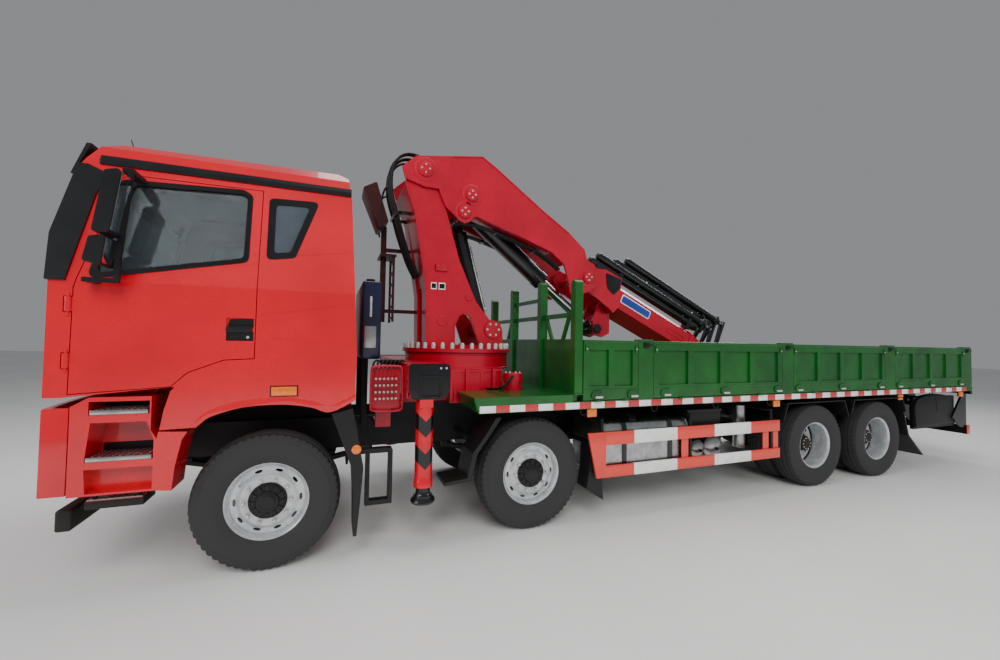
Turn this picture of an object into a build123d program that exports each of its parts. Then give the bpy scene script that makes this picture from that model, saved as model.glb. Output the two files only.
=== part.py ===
from build123d import *
import math
import os

os.makedirs("parts", exist_ok=True)

# Driving dimensions, in millimetres
# Lengths are measured to the rear from the first axle, heights from the ground
overall_length = 11800
front_overhang = 1450
half_width = 1240
axle_rows = [0, 2300, 6420, 7770]
tyre_radius = 540
tyre_width = 290
rim_radius = 298.2
rim_wall = 14
seat_gap = 0.3
running_gap = 0.05
single_tyre = 1020
twin_tyres = (745, 1085)
kingpin_y = 860
kingpin_radius = 22
stub_radius = 40
spindle_radius = 45
rail_outer = 435
rail_height = (760, 1060)
subframe_top = 1180

cab_wall = 45
cab_hinge = (-1300, 1200)
door_hinge = (-1215, 1240)

slew_x = 1830
slew_radius = 632
spigot_radius = 200
lift_pin = (1330, 3690)
cylinder_pin = (1780, 3280)
lift_base = (2150, 1970)
fold_base = (1860, 3480)
knuckle_pin = (3400, 2660)
fold_lever_pin = (3700, 2030)
boom_start = (3780, 2550)
boom_slope = 25
column_half = 360
fork_inner = 366
fork_plate = 30
slot_half = 100

bed_front = 2700
bed_floor = 1310
panel_base = 1250
panel_top = 1850
panel_inner = 1195
side_panels = [(2815, 3495), (3705, 5731), (5943, 7900), (8142, 10035)]
side_posts = [(3500, 3700), (5736, 5938), (7905, 8137), (10040, 10230)]
rear_end = overall_length - front_overhang

outrigger_x = (1065, 1425)
outrigger_z = (1315, 1615)
leg_x = 1224
leg_y = 1150
leg_radius = 78
jack_radius = 60

axle_1 = -overall_length / 2 + front_overhang
sides = {"left": -1, "right": 1}


# Planes and small helpers
def side(y=0.0):
    """Side view at one width, its x to the rear from the first axle and its y up."""
    return Plane(origin=(axle_1, y, 0), x_dir=(1, 0, 0), z_dir=(0, -1, 0))


def across(x):
    """View from the rear at one length, its x to the right-hand side and its y up."""
    return Plane(origin=(axle_1 + x, 0, 0), x_dir=(0, 1, 0), z_dir=(1, 0, 0))


def level(z):
    """View from above at one height, its x to the rear from the first axle."""
    return Plane(origin=(axle_1, 0, z))


def outline(plane, points, rounding=0.0):
    """Closed straight-sided face on a plane, its corners rounded if asked."""
    with BuildSketch(plane) as face:
        with BuildLine():
            Polyline(*points, close=True)
        make_face()
        if rounding:
            fillet(face.vertices(), rounding)
    return face.sketch


def slab(points, y_from, y_to, mode=Mode.ADD, rounding=0.0):
    """Plate cut to a side outline, between two widths."""
    extrude(outline(side(y_from), points, rounding), amount=y_from - y_to, mode=mode)


def bar(x, y, z, mode=Mode.ADD):
    """Box between two lengths, two widths and two heights."""
    with Locations((axle_1 + sum(x) / 2, sum(y) / 2, sum(z) / 2)):
        Box(x[1] - x[0], y[1] - y[0], z[1] - z[0], mode=mode)


def pin(x, z, radius, y_from, y_to, mode=Mode.ADD):
    """Round bar across the vehicle."""
    with Locations(Location((axle_1 + x, (y_from + y_to) / 2, z), (90, 0, 0))):
        Cylinder(radius, abs(y_to - y_from), mode=mode)


def post(x, y, radius, z_from, z_to, mode=Mode.ADD):
    """Upright round bar."""
    with Locations((axle_1 + x, y, (z_from + z_to) / 2)):
        Cylinder(radius, z_to - z_from, mode=mode)


def write(piece, name):
    """Label a finished piece and write it under its own name."""
    piece.label = name
    export_step(piece, f"parts/{name}.step")


# Chassis frame with channel rails, cross members, subframe and the cab's hinge brackets
cross_members = [950, 1950, 3000, 4200, 5400, 6080, 7095, 8250, 9300, 10100]
with BuildPart() as chassis_frame:
    rail_bottom, rail_top = rail_height
    channel = [
        (355, rail_bottom),
        (rail_outer, rail_bottom),
        (rail_outer, rail_top),
        (355, rail_top),
        (355, rail_top - 8),
        (rail_outer - 8, rail_top - 8),
        (rail_outer - 8, rail_bottom + 8),
        (355, rail_bottom + 8),
    ]
    extrude(outline(across(-1150), channel), amount=11300)
    bar((1000, 10150), (365, rail_outer), (rail_top, subframe_top))
    bar((-1150, -1110), (0, rail_outer), rail_height)
    slab([(-1150, 900), (-1150, 1060), (-1260, 1236), (-1335, 1236), (-1335, 1164), (-1230, 960)], 380, 405)
    slab([(-1150, 900), (-1150, 1060), (-1260, 1236), (-1335, 1236), (-1335, 1164), (-1230, 960)], 455, 480)
    bar((-1150, -1050), (rail_outer, 480), (900, 1060))
    pin(*cab_hinge, 20, 380, 480)
    for x in cross_members:
        bar((x, x + 60), (0, rail_outer - 8), (800, 1020))
    mirror(about=Plane.XZ)
write(chassis_frame.part, "chassis_frame")

# Four axles on leaf springs, the front pair with bosses for the kingpins
with BuildPart() as axles:
    for x in axle_rows[:2]:
        bar((x - 50, x + 50), (0, kingpin_y - 30), (490, 590))
        post(x, kingpin_y, 56, 480, 600)
        post(x, kingpin_y, kingpin_radius, 425, 655)
        slab([(x - 720, 735), (x - 300, 655), (x + 300, 655), (x + 720, 735), (x + 720, 700),
              (x + 300, 610), (x - 300, 610), (x - 720, 700)], 362, 450)
        bar((x - 70, x + 70), (362, 450), (585, 615))
        bar((x - 735, x - 680), (362, 450), (700, 760))
        bar((x + 680, x + 735), (362, 450), (700, 760))
    for x in axle_rows[2:]:
        pin(x, tyre_radius, 75, 0, 620)
        pin(x, tyre_radius, spindle_radius, 600, 1080)
        bar((x - 60, x + 60), (362, 450), (600, 700))
    slab([(6380, 700), (6460, 700), (7045, 745), (7145, 745), (7730, 700), (7810, 700), (7810, 650),
          (7145, 690), (7045, 690), (6380, 650)], 362, 450)
    bar((7045, 7145), (362, 450), (740, 760))
    mirror(about=Plane.XZ)
    for x in axle_rows[2:]:
        with Locations(Location((axle_1 + x, 0, tyre_radius), (0, 90, 0))):
            Cylinder(190, 330)
    with Locations(Location((axle_1 + 4400, 0, 610), (0, 90, 0))):
        Cylinder(50, 3750)
write(axles.part, "axles")

# Engine as one plain block
with BuildPart() as engine:
    bar((-900, 500), (-330, 330), (700, 1550))
    bar((-700, 300), (8 - rail_outer, rail_outer - 8), (880, 940))
write(engine.part, "engine")

# Bumper, a curved shell open to the rear, with lamps, lower bar and tow eyes
bumper_z = (745, 1330)
with BuildPart() as bumper:
    with BuildSketch(level(bumper_z[0])) as bumper_plan:
        with BuildLine():
            ThreePointArc((-1330, -half_width), (-front_overhang, 0), (-1330, half_width))
            Line((-1330, half_width), (-1185, half_width))
            Line((-1185, half_width), (-1185, -half_width))
            Line((-1185, -half_width), (-1330, -half_width))
        make_face()
        fillet(bumper_plan.vertices().group_by(Axis.X)[0], 60)
    extrude(amount=bumper_z[1] - bumper_z[0])
    with BuildSketch(level(bumper_z[0] + 30)) as bumper_hollow:
        with BuildLine():
            ThreePointArc((-1300, 40 - half_width), (40 - front_overhang, 0), (-1300, half_width - 40))
            Line((-1300, half_width - 40), (-1150, half_width - 40))
            Line((-1150, half_width - 40), (-1150, 40 - half_width))
            Line((-1150, 40 - half_width), (-1300, 40 - half_width))
        make_face()
    extrude(amount=bumper_z[1], mode=Mode.SUBTRACT)
    for s in sides.values():
        bar((-1600, -1250), sorted((s * 640, s * 1080)), (1010, 1180), mode=Mode.SUBTRACT)
        bar((-1440, -1300), sorted((s * 640, s * 1080)), (1010, 1180))
        bar((-1440, -1150), sorted((s * 355, s * 372)), (800, 1000))
    bar((-1500, -1405), (-500, 500), (800, 960), mode=Mode.SUBTRACT)
    bar((-1290, -1210), (-1100, 1100), (470, 610))
    for s in sides.values():
        bar((-1270, -1150), sorted((s * 380, s * 435)), (600, 795))
write(bumper.part, "bumper")

# Step boxes under the doors with two treads and a hanging one, and the fixed lower fenders
step_body = [(-1180, 735), (-1180, 1340), (-1083, 1400), (-735, 1400), (-735, 1160), (-700, 1100), (-700, 735)]
lower_fender = [(-701, 1090), (-690, 1147), (-518, 1137), (-550, 1079), (-586, 891), (-600, 723), (-701, 735)]
with BuildPart() as steps:
    slab(step_body, 955, half_width)
    slab([(-1083, 1280), (-1083, 1370), (-745, 1370), (-745, 1280)], 1010, 1300, mode=Mode.SUBTRACT)
    slab([(-1095, 962), (-1070, 1225), (-760, 1225), (-715, 1090), (-715, 962)], 1010, 1300, mode=Mode.SUBTRACT)
    slab([(-1085, 750), (-1095, 912), (-715, 912), (-715, 750)], 1130, 1300, mode=Mode.SUBTRACT)
    bar((-1084, -766), (1010, 1225), (646, 695))
    bar((-1060, -1035), (1180, 1200), (690, 745))
    bar((-815, -790), (1180, 1200), (690, 745))
    slab(lower_fender, 955, half_width)
    bar((-1040, -980), (rail_outer, 960), (900, 960))
    bar((-790, -730), (rail_outer, 960), (1000, 1050))
    mirror(about=Plane.XZ)
write(steps.part, "steps")

# Mudguards and flaps at every wheel, and the rear side covers
front_flap = [(452, 1219), (614, 1258), (710, 765), (668, 215), (640, 215), (632, 540), (615, 774)]
liner = [(1933, 1119), (1815, 950), (1700, 800), (1650, 560), (1400, 540), (1400, 570), (1610, 590),
         (1660, 810), (1780, 965), (1880, 1119)]
with BuildPart() as mudguards:
    slab(front_flap, 940, 1235)
    bar((600, 680), (rail_outer, 945), (980, 1030))
    slab([(740, 380), (740, 850), (775, 850), (775, 420), (935, 420), (935, 850), (970, 850), (970, 380)], 960, 1040)
    bar((640, 960), (960, 1040), (830, 870))
    slab(liner, 900, 1235)
    bar((1690, 1750), (rail_outer, 905), (870, 900))
    slab([(2950, 800), (2940, 540), (2905, 342), (3109, 203), (3060, 800)], 990, 1180)
    bar((2975, 3035), (rail_outer, 1000), (765, 795))
    for x in axle_rows[2:]:
        slab([(x - 640, 900), (x - 560, 1105), (x + 560, 1105), (x + 640, 900), (x + 652, 905),
              (x + 572, 1117), (x - 572, 1117), (x - 652, 905)], 590, 1235)
        bar((x - 30, x + 30), (rail_outer, 595), (1106, 1116))
        bar((x - 30, x + 30), (560, 600), (1100, 1120))
        bar((x - 30, x + 30), (rail_outer, 600), (1020, 1055))
        bar((x - 30, x + 30), (575, 600), (1020, 1110))
    slab([(8420, 900), (8440, 900), (8560, 540), (8930, 215), (8890, 215), (8530, 535)], 640, 1200)
    bar((8425, 8435), (rail_outer, 700), (870, 900))
    bar((8880, 10040), (1060, 1110), (590, 1080))
    bar((8900, 8960), (rail_outer, 1060), (960, 1020))
    bar((9940, 10000), (rail_outer, 1060), (960, 1020))
    mirror(about=Plane.XZ)
write(mudguards.part, "mudguards")

# Tanks: fuel tank with straps, round air tanks, battery box, silencer and the oil tank behind the cab
with BuildPart() as tanks:
    with BuildSketch(across(3100)):
        with Locations((-885, 730)):
            RectangleRounded(610, 560, 110)
    extrude(amount=1140)
    for x in (3330, 3950):
        with BuildSketch(across(x)):
            with Locations((-885, 730)):
                RectangleRounded(622, 572, 115)
        extrude(amount=60)
        bar((x, x + 60), (-600, -rail_outer), (780, 860))
    for x, z, radius in ((4500, 615, 106), (4754, 620, 147)):
        pin(x, z, radius, -1120, -560)
        bar((x - 20, x + 20), (-900, -840), (z, 890))
    bar((4280, 4790), (-1150, -560), (880, 1080))
    bar((4300, 4360), (-570, -rail_outer), (900, 980))
    post(5270, -1000, 70, 560, 1090)
    bar((5240, 5300), (-950, -rail_outer), (900, 960))
    bar((3150, 4700), (560, 1150), (480, 1010))
    bar((3400, 3460), (rail_outer, 570), (800, 900))
    bar((4400, 4460), (rail_outer, 570), (800, 900))
    bar((700, 880), (-650, 650), (1640, 2400))
    for s in sides.values():
        bar((720, 780), sorted((s * rail_outer, s * 480)), (980, 1660))
write(tanks.part, "tanks")

# Side guards with two rails, slanted front plates, posts and arms
with BuildPart() as side_guards:
    bar((2900, 5690), (1215, half_width), (780, 915))
    bar((2985, 5690), (1215, half_width), (450, 570))
    slab([(2881, 915), (2985, 450), (3100, 450), (3100, 915)], 1215, half_width)
    for x in (4124, 5420):
        bar((x, x + 100), (1205, 1215), (450, 915))
    for x in (3050, 4245, 5560):
        bar((x, x + 30), (rail_outer, 1215), (1020, 1050))
        bar((x, x + 30), (1185, 1215), (480, 1030))
    mirror(about=Plane.XZ)
write(side_guards.part, "side_guards")

# Hinges below the dropsides and the tailgate: a pin between two lugs, and a bored knuckle on it
panel_hinge = (1252, 1245)
hinge_pin = 6
gate_hinge = (10312, 1245)
gate_spots = [-900, 0, 900]


def hinge_spots(front, rear):
    """Lengths of a side panel's two hinges."""
    inset = min(400, (rear - front) / 4)
    return [front + inset, rear - inset]


def hinge_bar(x, y, radius, x_half, mode=Mode.ADD):
    """Round bar along the vehicle at a panel hinge's height."""
    with Locations(Location((axle_1 + x, y, panel_hinge[1]), (0, 90, 0))):
        Cylinder(radius, 2 * x_half, mode=mode)


# Bed deck with bearers, edge rails, rear beam and rear bar
with BuildPart() as bed_deck:
    bar((2450, 10245), (0, 1190), (1285, bed_floor))
    bar((1664, 2450), (640, 1190), (1285, bed_floor))
    for x in [1690, 2400] + [2710 + 500 * n for n in range(15)] + [10160]:
        inner = 640 if x < 2300 else 0
        bar((x, x + 60), (inner, 1190), (subframe_top, 1285))
    slab([(1664, 1286), (1708, 1163), (10245, 1163), (10245, 1240), (2700, 1240), (2700, bed_floor),
          (1664, bed_floor)], 1190, 1235)
    bar((10245, 10295), (0, 1235), (1110, 1240))
    bar((10250, rear_end), (0, 1180), (447, 585))
    slab([(10290, 1115), (10290, 560), (10150, 560), (9866, 737), (10200, 1115)], 470, 500)
    slab([(10290, 1115), (10290, 560), (10150, 560), (9866, 737), (10200, 1115)], 1130, 1160)
    bar((10040, 10150), (rail_outer, 500), (900, 1060))
    for front, rear in side_panels:
        for x in hinge_spots(front, rear):
            hinge_bar(x, panel_hinge[0], hinge_pin, 45)
            for low in (x - 45, x + 25):
                bar((low, low + 20), (1230, panel_hinge[0] + 3), (1234, 1244))
    mirror(about=Plane.XZ)
    for y in gate_spots:
        pin(*gate_hinge, hinge_pin, y - 45, y + 45)
        for low in (y - 45, y + 25):
            bar((10290, gate_hinge[0] + 3), (low, low + 20), (1234, 1244))
write(bed_deck.part, "bed_deck")

# Rack at the bed's front with board, round-topped posts, rails and braces, and the posts between the panels
with BuildPart() as bed_posts:
    bar((2745, 2785), (0, 1195), (bed_floor, 1870))
    for y, top in ((420, 2500), (1190, 2430)):
        bar((2715, 2805), (y - 45, y + 45), (bed_floor, top))
        with Locations(Location((axle_1 + 2760, y, top), (0, 90, 0))):
            Cylinder(45, 90)
    for front, rear in side_posts:
        bar((front, rear), (panel_inner, half_width), (1240, 1870))
        bar((front + 40, rear - 40), (1160, panel_inner), (bed_floor, 1870))
    bar((2750, 2780), (0, 1110), (2100, 2150))
    bar((2750, 2780), (0, 430), (2315, 2360))
    for foot, head in ((660, 520), (900, 1040)):
        with BuildSketch(across(2752)):
            with BuildLine():
                Polyline((foot - 25, 1860), (foot + 25, 1860), (head + 25, 2120), (head - 25, 2120), close=True)
            make_face()
        extrude(amount=26)
    mirror(about=Plane.XZ)
write(bed_posts.part, "bed_posts")

# Crane base: box on the subframe, outrigger housing, round drum and the spigot it turns on
with BuildPart() as crane_base:
    bar((1600, 2180), (-600, 600), (subframe_top, 1535))
    bar((1430, 1600), (-400, 400), (subframe_top, 1535))
    bar(outrigger_x, (-1145, 1145), outrigger_z)
    bar((outrigger_x[0] + 40, 1430), (-425, 425), (subframe_top, 1320))
    post(slew_x, 0, 600, 1530, 1700)
    post(slew_x, 0, spigot_radius, 1695, 1770)
    bar((outrigger_x[0] + 12, outrigger_x[1] - 12), (-1200, 1200),
        (outrigger_z[0] + 12, outrigger_z[1] - 12), mode=Mode.SUBTRACT)
    for x in (1760, 2060):
        for y in (-585, 585):
            bar((x, x + 40), (y - 50, y + 50), (subframe_top, 1535))
    post(2268, -700, 95, bed_floor, 1500)
    bar((2150, 2268), (-700, -560), (1330, 1400))
    bar((2120, 2200), (-600, -500), (1330, 1400))
write(crane_base.part, "crane_base")

# Valve bank beside the crane with its levers
with BuildPart() as valve_bank:
    bar((790, 1045), (-880, -700), (1190, 1560))
    bar((840, 980), (-710, -rail_outer), (1000, 1055))
    bar((840, 980), (-740, -700), (1000, 1200))
    for n in range(6):
        bar((810 + 36 * n, 822 + 36 * n), (-900, -872), (1240, 1480))
        post(816 + 36 * n, -890, 6, 1470, 1570)
write(valve_bank.part, "valve_bank")


# Cab skin as a solid, shrunk or grown by an inset from its outer faces
cab_side = [(-1430, 1402), (-1430, 2120), (-1395, 2180), (-1232, 3040), (-1150, 3190), (-1050, 3250),
            (451, 3290), (535, 3235), (566, 3005), (635, 1656), (625, 1460), (-630, 1460), (-1230, 1402)]
cab_front = [(0, 1300), (half_width, 1300), (half_width, 2200), (1109, 3080), (1060, 3190), (930, 3290), (0, 3310)]


def cab_front_prism(inset):
    """The cab's view from the front, drawn through its whole length."""
    half = [(y - inset if y else 0, z if z < 3200 else z - inset) for y, z in cab_front]
    whole = half + [(-y, z) for y, z in reversed(half)]
    points = [p for n, p in enumerate(whole) if p not in whole[:n]]
    with BuildPart() as prism:
        extrude(outline(across(-1800), points), amount=2800)
    return prism.part


def cab_solid(inset):
    """The cab's three outlines crossed, all moved in by an inset."""
    with BuildPart() as solid:
        with BuildSketch(side(1400)):
            with BuildLine():
                Polyline(*cab_side, close=True)
            make_face()
            if inset:
                offset(amount=-inset, kind=Kind.INTERSECTION)
        extrude(amount=2800)
        with BuildSketch(level(1000)):
            with BuildLine():
                ThreePointArc((inset - 1325, inset - half_width), (inset - 1430, 0), (inset - 1325, half_width - inset))
                Line((inset - 1325, half_width - inset), (900, half_width - inset))
                Line((900, half_width - inset), (900, inset - half_width))
                Line((900, inset - half_width), (inset - 1325, inset - half_width))
            make_face()
        extrude(amount=2600, mode=Mode.INTERSECT)
        add(cab_front_prism(inset), mode=Mode.INTERSECT)
    return solid.part


door_edge = [(-1195, 1426), (-630, 1466), (-533, 1566), (-309, 1657), (-112, 1668), (-104, 2995),
             (-985, 2985), (-1190, 2145)]
door_gap = 5
window = [(-1092, 2242), (-203, 2428), (-200, 2930), (-248, 2956), (-925, 2923)]
quarter_window = [(-40, 2930), (292, 2944), (136, 2481), (-40, 2452)]
flare = [(-685, 1157), (-665, 1295), (-629, 1433), (-532, 1550), (-431, 1596), (-309, 1646), (624, 1640),
         (632, 1333), (441, 1242), (295, 1288), (94, 1317), (-171, 1306), (-384, 1242), (-468, 1164)]
hinge_heights = [(1600, 1700), (1980, 2080)]
cab_outer = cab_solid(0)
cab_inner = cab_solid(cab_wall)
glass_outer = cab_solid(14)
glass_inner = cab_solid(20)
windscreen = [(-1010, 2270), (1010, 2270), (960, 2960), (-960, 2960)]
rear_window = [(-500, 2350), (500, 2350), (500, 2850), (-500, 2850)]


def side_prism(points, y_from, y_to, grow=0.0, rounding=0.0):
    """Block with a side outline on both sides of the cab, grown by a gap."""
    with BuildPart() as prism:
        with BuildSketch(side(y_from)):
            with BuildLine():
                Polyline(*points, close=True)
            make_face()
            if grow:
                offset(amount=grow, kind=Kind.INTERSECTION)
        extrude(amount=y_from - y_to)
        if rounding:
            fillet(prism.edges().filter_by(Axis.Y), rounding)
        mirror(about=Plane.XZ)
    return prism.part


def across_prism(points, x_from, x_to, rounding=0.0):
    """Block with an outline seen from the front, between two lengths."""
    with BuildPart() as prism:
        extrude(outline(across(x_from), points, rounding), amount=x_to - x_from)
    return prism.part


window_block = side_prism(window, 900, 1400, rounding=40)
quarter_block = side_prism(quarter_window, 900, 1400, rounding=30)
windscreen_block = across_prism(windscreen, -1600, -1150, rounding=60)
rear_window_block = across_prism(rear_window, 450, 800, rounding=60)

# Cab shell: hollow skin with floor and tunnel, door openings, windows cut, wheel flares and hinge lugs
with BuildPart() as door_cut:
    add(side_prism(door_edge, 900, 1400, grow=door_gap))
    add(cab_front_prism(cab_wall + 5), mode=Mode.SUBTRACT)
hinge_arm = [(-1330, 1190), (-1333, 1215), (-1215, 1395), (-1215, 1425),
             (-1150, 1425), (-1150, 1395), (-1265, 1215), (-1270, 1190)]
with BuildPart() as cab_shell:
    add(cab_outer)
    add(cab_inner, mode=Mode.SUBTRACT)
    bar((-1000, 590), (-500, 500), (1440, 1800))
    add(cab_outer, mode=Mode.INTERSECT)
    bar((-955, 560), (-450, 450), (1300, 1750), mode=Mode.SUBTRACT)
    add(door_cut.part, mode=Mode.SUBTRACT)
    for hole in (quarter_block, windscreen_block, rear_window_block):
        add(hole, mode=Mode.SUBTRACT)
    for s in sides.values():
        for low, high in hinge_heights:
            post(door_hinge[0], s * door_hinge[1], 26, low - 5, high + 5, mode=Mode.SUBTRACT)
            post(door_hinge[0], s * door_hinge[1], 9, low - 30, high + 30)
        slab(flare, s * 1120, s * half_width)
        slab(hinge_arm, s * 410, s * 450)
        pin(*cab_hinge, 36, s * 410, s * 450)
        pin(*cab_hinge, 20 + running_gap, s * 405, s * 455, mode=Mode.SUBTRACT)
write(cab_shell.part, "cab_shell")

# Cab glass: windscreen, rear window and both quarter windows
with BuildPart() as cab_glass:
    add(windscreen_block)
    add(rear_window_block)
    add(quarter_block)
    add(glass_outer, mode=Mode.INTERSECT)
    add(glass_inner, mode=Mode.SUBTRACT)
write(cab_glass.part, "cab_glass")

# Cab interior: seats, dash, steering wheel and bunk
with BuildPart() as cab_interior:
    for y in (-780, 780):
        bar((-700, -300), (y - 180, y + 180), (1505, 1760))
        bar((-780, -240), (y - 250, y + 250), (1760, 1880))
        slab([(-300, 1860), (-220, 1860), (-90, 2560), (-200, 2560)], y - 240, y + 240)
        slab([(-190, 2560), (-95, 2560), (-75, 2740), (-165, 2740)], y - 130, y + 130)
    bar((-1265, -1080), (-1130, 1130), (1800, 2160))
    bar((-1260, -1180), (-1000, 1000), (1453, 1810))
    bar((150, 560), (-1140, 1140), (1900, 2010))
    bar((150, 200), (-1100, 1100), (1800 + seat_gap, 1905))
    with Locations(Location((axle_1 - 870, -780, 2150), (0, 35, 0))):
        Torus(215, 14)
        Cylinder(60, 30)
        Box(420, 30, 12)
    with Locations(Location((axle_1 - 985, -780, 1986), (0, 35, 0))):
        Cylinder(28, 400)
write(cab_interior.part, "cab_interior")

# Cab trim: grille bars, pillar covers, side strips and sun visor
trim_outer = cab_solid(-14)
pillar_cover = [(-1420, 2190), (-1235, 2190), (-1130, 2810), (-1075, 2975), (-1190, 3030), (-1290, 3030)]
with BuildPart() as cab_trim:
    add(side_prism(pillar_cover, 1030, 1400))
    add(side_prism([(-1130, 3045), (560, 3045), (560, 3112), (-1130, 3112)], 900, 1400))
    for n in range(5):
        add(across_prism([(-820, 1520 + 110 * n), (820, 1520 + 110 * n), (820, 1590 + 110 * n),
                          (-820, 1590 + 110 * n)], -1600, -1300))
    add(across_prism([(-1000, 2130), (1000, 2130), (1000, 2200), (-1000, 2200)], -1600, -1250))
    add(trim_outer, mode=Mode.INTERSECT)
    add(cab_outer, mode=Mode.SUBTRACT)
    slab([(-1262, 2985), (-1345, 2990), (-1262, 3225), (-1232, 3225), (-1325, 3005), (-1245, 3000)], -1000, 1000)
    for y in (-900, 0, 900):
        bar((-1290, -1170), (y - 15, y + 15), (3150, 3200))
    add(cab_outer, mode=Mode.SUBTRACT)
write(cab_trim.part, "cab_trim")

# Doors with their glass and the mirrors they carry
with BuildPart() as door_band:
    add(cab_outer)
    add(cab_front_prism(cab_wall), mode=Mode.SUBTRACT)
door_blank = side_prism(door_edge, 900, 1400)
for name, s in sides.items():
    keep = sorted((s * 900, s * 1400))
    with BuildPart() as door:
        add(door_blank)
        bar((-1400, 100), keep, (1300, 3200), mode=Mode.INTERSECT)
        add(door_band.part, mode=Mode.INTERSECT)
        add(window_block, mode=Mode.SUBTRACT)
        bar((-300, -120), sorted((s * 1222, s * 1300)), (1800, 1970), mode=Mode.SUBTRACT)
        bar((-300, -120), sorted((s * 1228, s * 1236)), (1870, 1905))
        for low, high in hinge_heights:
            post(door_hinge[0], s * door_hinge[1], 19, low, high)
            bar((-1215, -1180), sorted((s * 1224, s * 1238)), (low, high))
            post(door_hinge[0], s * door_hinge[1], 9 + running_gap, low, high, mode=Mode.SUBTRACT)
    write(door.part, f"door_{name}")
    with BuildPart() as door_glass:
        add(window_block)
        bar((-1400, 100), keep, (1300, 3200), mode=Mode.INTERSECT)
        add(glass_outer, mode=Mode.INTERSECT)
        add(glass_inner, mode=Mode.SUBTRACT)
    write(door_glass.part, f"door_glass_{name}")
    with BuildPart() as mirrors:
        slab([(-942, 2881), (-855, 2905), (-906, 2478), (-995, 2478)], s * 1345, s * 1530, rounding=20)
        slab([(-1005, 2449), (-920, 2468), (-941, 2263), (-1034, 2292)], s * 1345, s * 1530, rounding=20)
        slab([(-935, 2300), (-905, 2300), (-850, 2960), (-880, 2960)], s * 1335, s * 1365)
        bar((-910, -850), sorted((s * 1148, s * 1365)), (2930, 2960))
        bar((-1100, -1050), sorted((s * half_width, s * 1365)), (2175, 2205))
        bar((-1100, -905), sorted((s * 1335, s * 1365)), (2175, 2205))
        slab([(-935, 2180), (-905, 2180), (-900, 2310), (-935, 2310)], s * 1335, s * 1365)
        add(cab_outer, mode=Mode.SUBTRACT)
    write(mirrors.part, f"mirrors_{name}")


# Wheels: each tyre, rim and hub is its own solid around the axle's axis
def wheel_plane(x, s):
    """Section through a wheel, its x outward along the axle and its y up from the axle."""
    return Plane(origin=(axle_1 + x, 0, tyre_radius), x_dir=(0, s, 0), z_dir=(s, 0, 0))


def spin(x, s, points):
    """Ring from a straight-sided section turned about an axle."""
    axle = Axis(origin=(axle_1 + x, 0, tyre_radius), direction=(0, 1, 0))
    revolve(outline(wheel_plane(x, s), points), axis=axle)


def tyre(x, s, centre):
    """Tyre with bulging side walls and a slightly crowned tread."""
    bead = rim_radius + seat_gap
    axle = Axis(origin=(axle_1 + x, 0, tyre_radius), direction=(0, 1, 0))
    with BuildSketch(wheel_plane(x, s)) as section:
        with BuildLine():
            half = tyre_width / 2
            ThreePointArc((centre - 112, bead), (centre - half, 420), (centre - 122, 522))
            ThreePointArc((centre - 122, 522), (centre, tyre_radius), (centre + 122, 522))
            ThreePointArc((centre + 122, 522), (centre + half, 420), (centre + 112, bead))
            Line((centre + 112, bead), (centre - 112, bead))
        make_face()
    revolve(section.sketch, axis=axle)


hub_radius = 125
disc_hole = hub_radius + seat_gap
for row, x in enumerate(axle_rows, start=1):
    for name, s in sides.items():
        with BuildPart() as wheel:
            if row <= 2:
                c = single_tyre
                bore = stub_radius + running_gap
                tyre(x, s, c)
                spin(x, s, [(c - 112, rim_radius), (c + 112, rim_radius), (c + 112, rim_radius - rim_wall),
                            (c + 66, 278), (c + 84, 190), (c + 84, disc_hole), (c + 70, disc_hole),
                            (c + 70, 186), (c + 52, 276), (c - 112, rim_radius - rim_wall)])
                spin(x, s, [(c - 60, bore), (c - 60, hub_radius), (c + 95, hub_radius), (c + 120, 112),
                            (c + 150, 96), (c + 150, 0), (c + 135, 0), (c + 135, bore)])
            else:
                inner, outer = twin_tyres
                bore = spindle_radius + running_gap
                middle = (inner + outer) / 2
                for c, d in ((inner, -1), (outer, 1)):
                    tyre(x, s, c)
                    spin(x, s, [(middle + 15 * d, rim_radius), (c + 112 * d, rim_radius),
                                (c + 112 * d, rim_radius - rim_wall), (middle + 45 * d, 282),
                                (middle + 30 * d, 200), (middle + 30 * d, disc_hole),
                                (middle + 15 * d, disc_hole)])
                spin(x, s, [(640, bore), (640, hub_radius), (1010, hub_radius), (1050, 105), (1100, 92),
                            (1100, 0), (1085, 0), (1085, bore)])
        write(wheel.part, f"wheel_{row}_{name}")

# Steering knuckles that carry the front wheels on stub axles
for row, x in enumerate(axle_rows[:2], start=1):
    for name, s in sides.items():
        with BuildPart() as knuckle:
            post(x, s * kingpin_y, 56, 606, 650)
            post(x, s * kingpin_y, 56, 430, 474)
            bar((x - 56, x + 56), sorted((s * (kingpin_y), s * 958)), (606, 650))
            bar((x - 56, x + 56), sorted((s * (kingpin_y), s * 958)), (430, 474))
            bar((x - 56, x + 56), sorted((s * 925, s * 958)), (430, 650))
            pin(x, tyre_radius, stub_radius, s * 950, s * 1150)
            post(x, s * kingpin_y, kingpin_radius + running_gap, 420, 660, mode=Mode.SUBTRACT)
        write(knuckle.part, f"knuckle_{row}_{name}")


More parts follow.
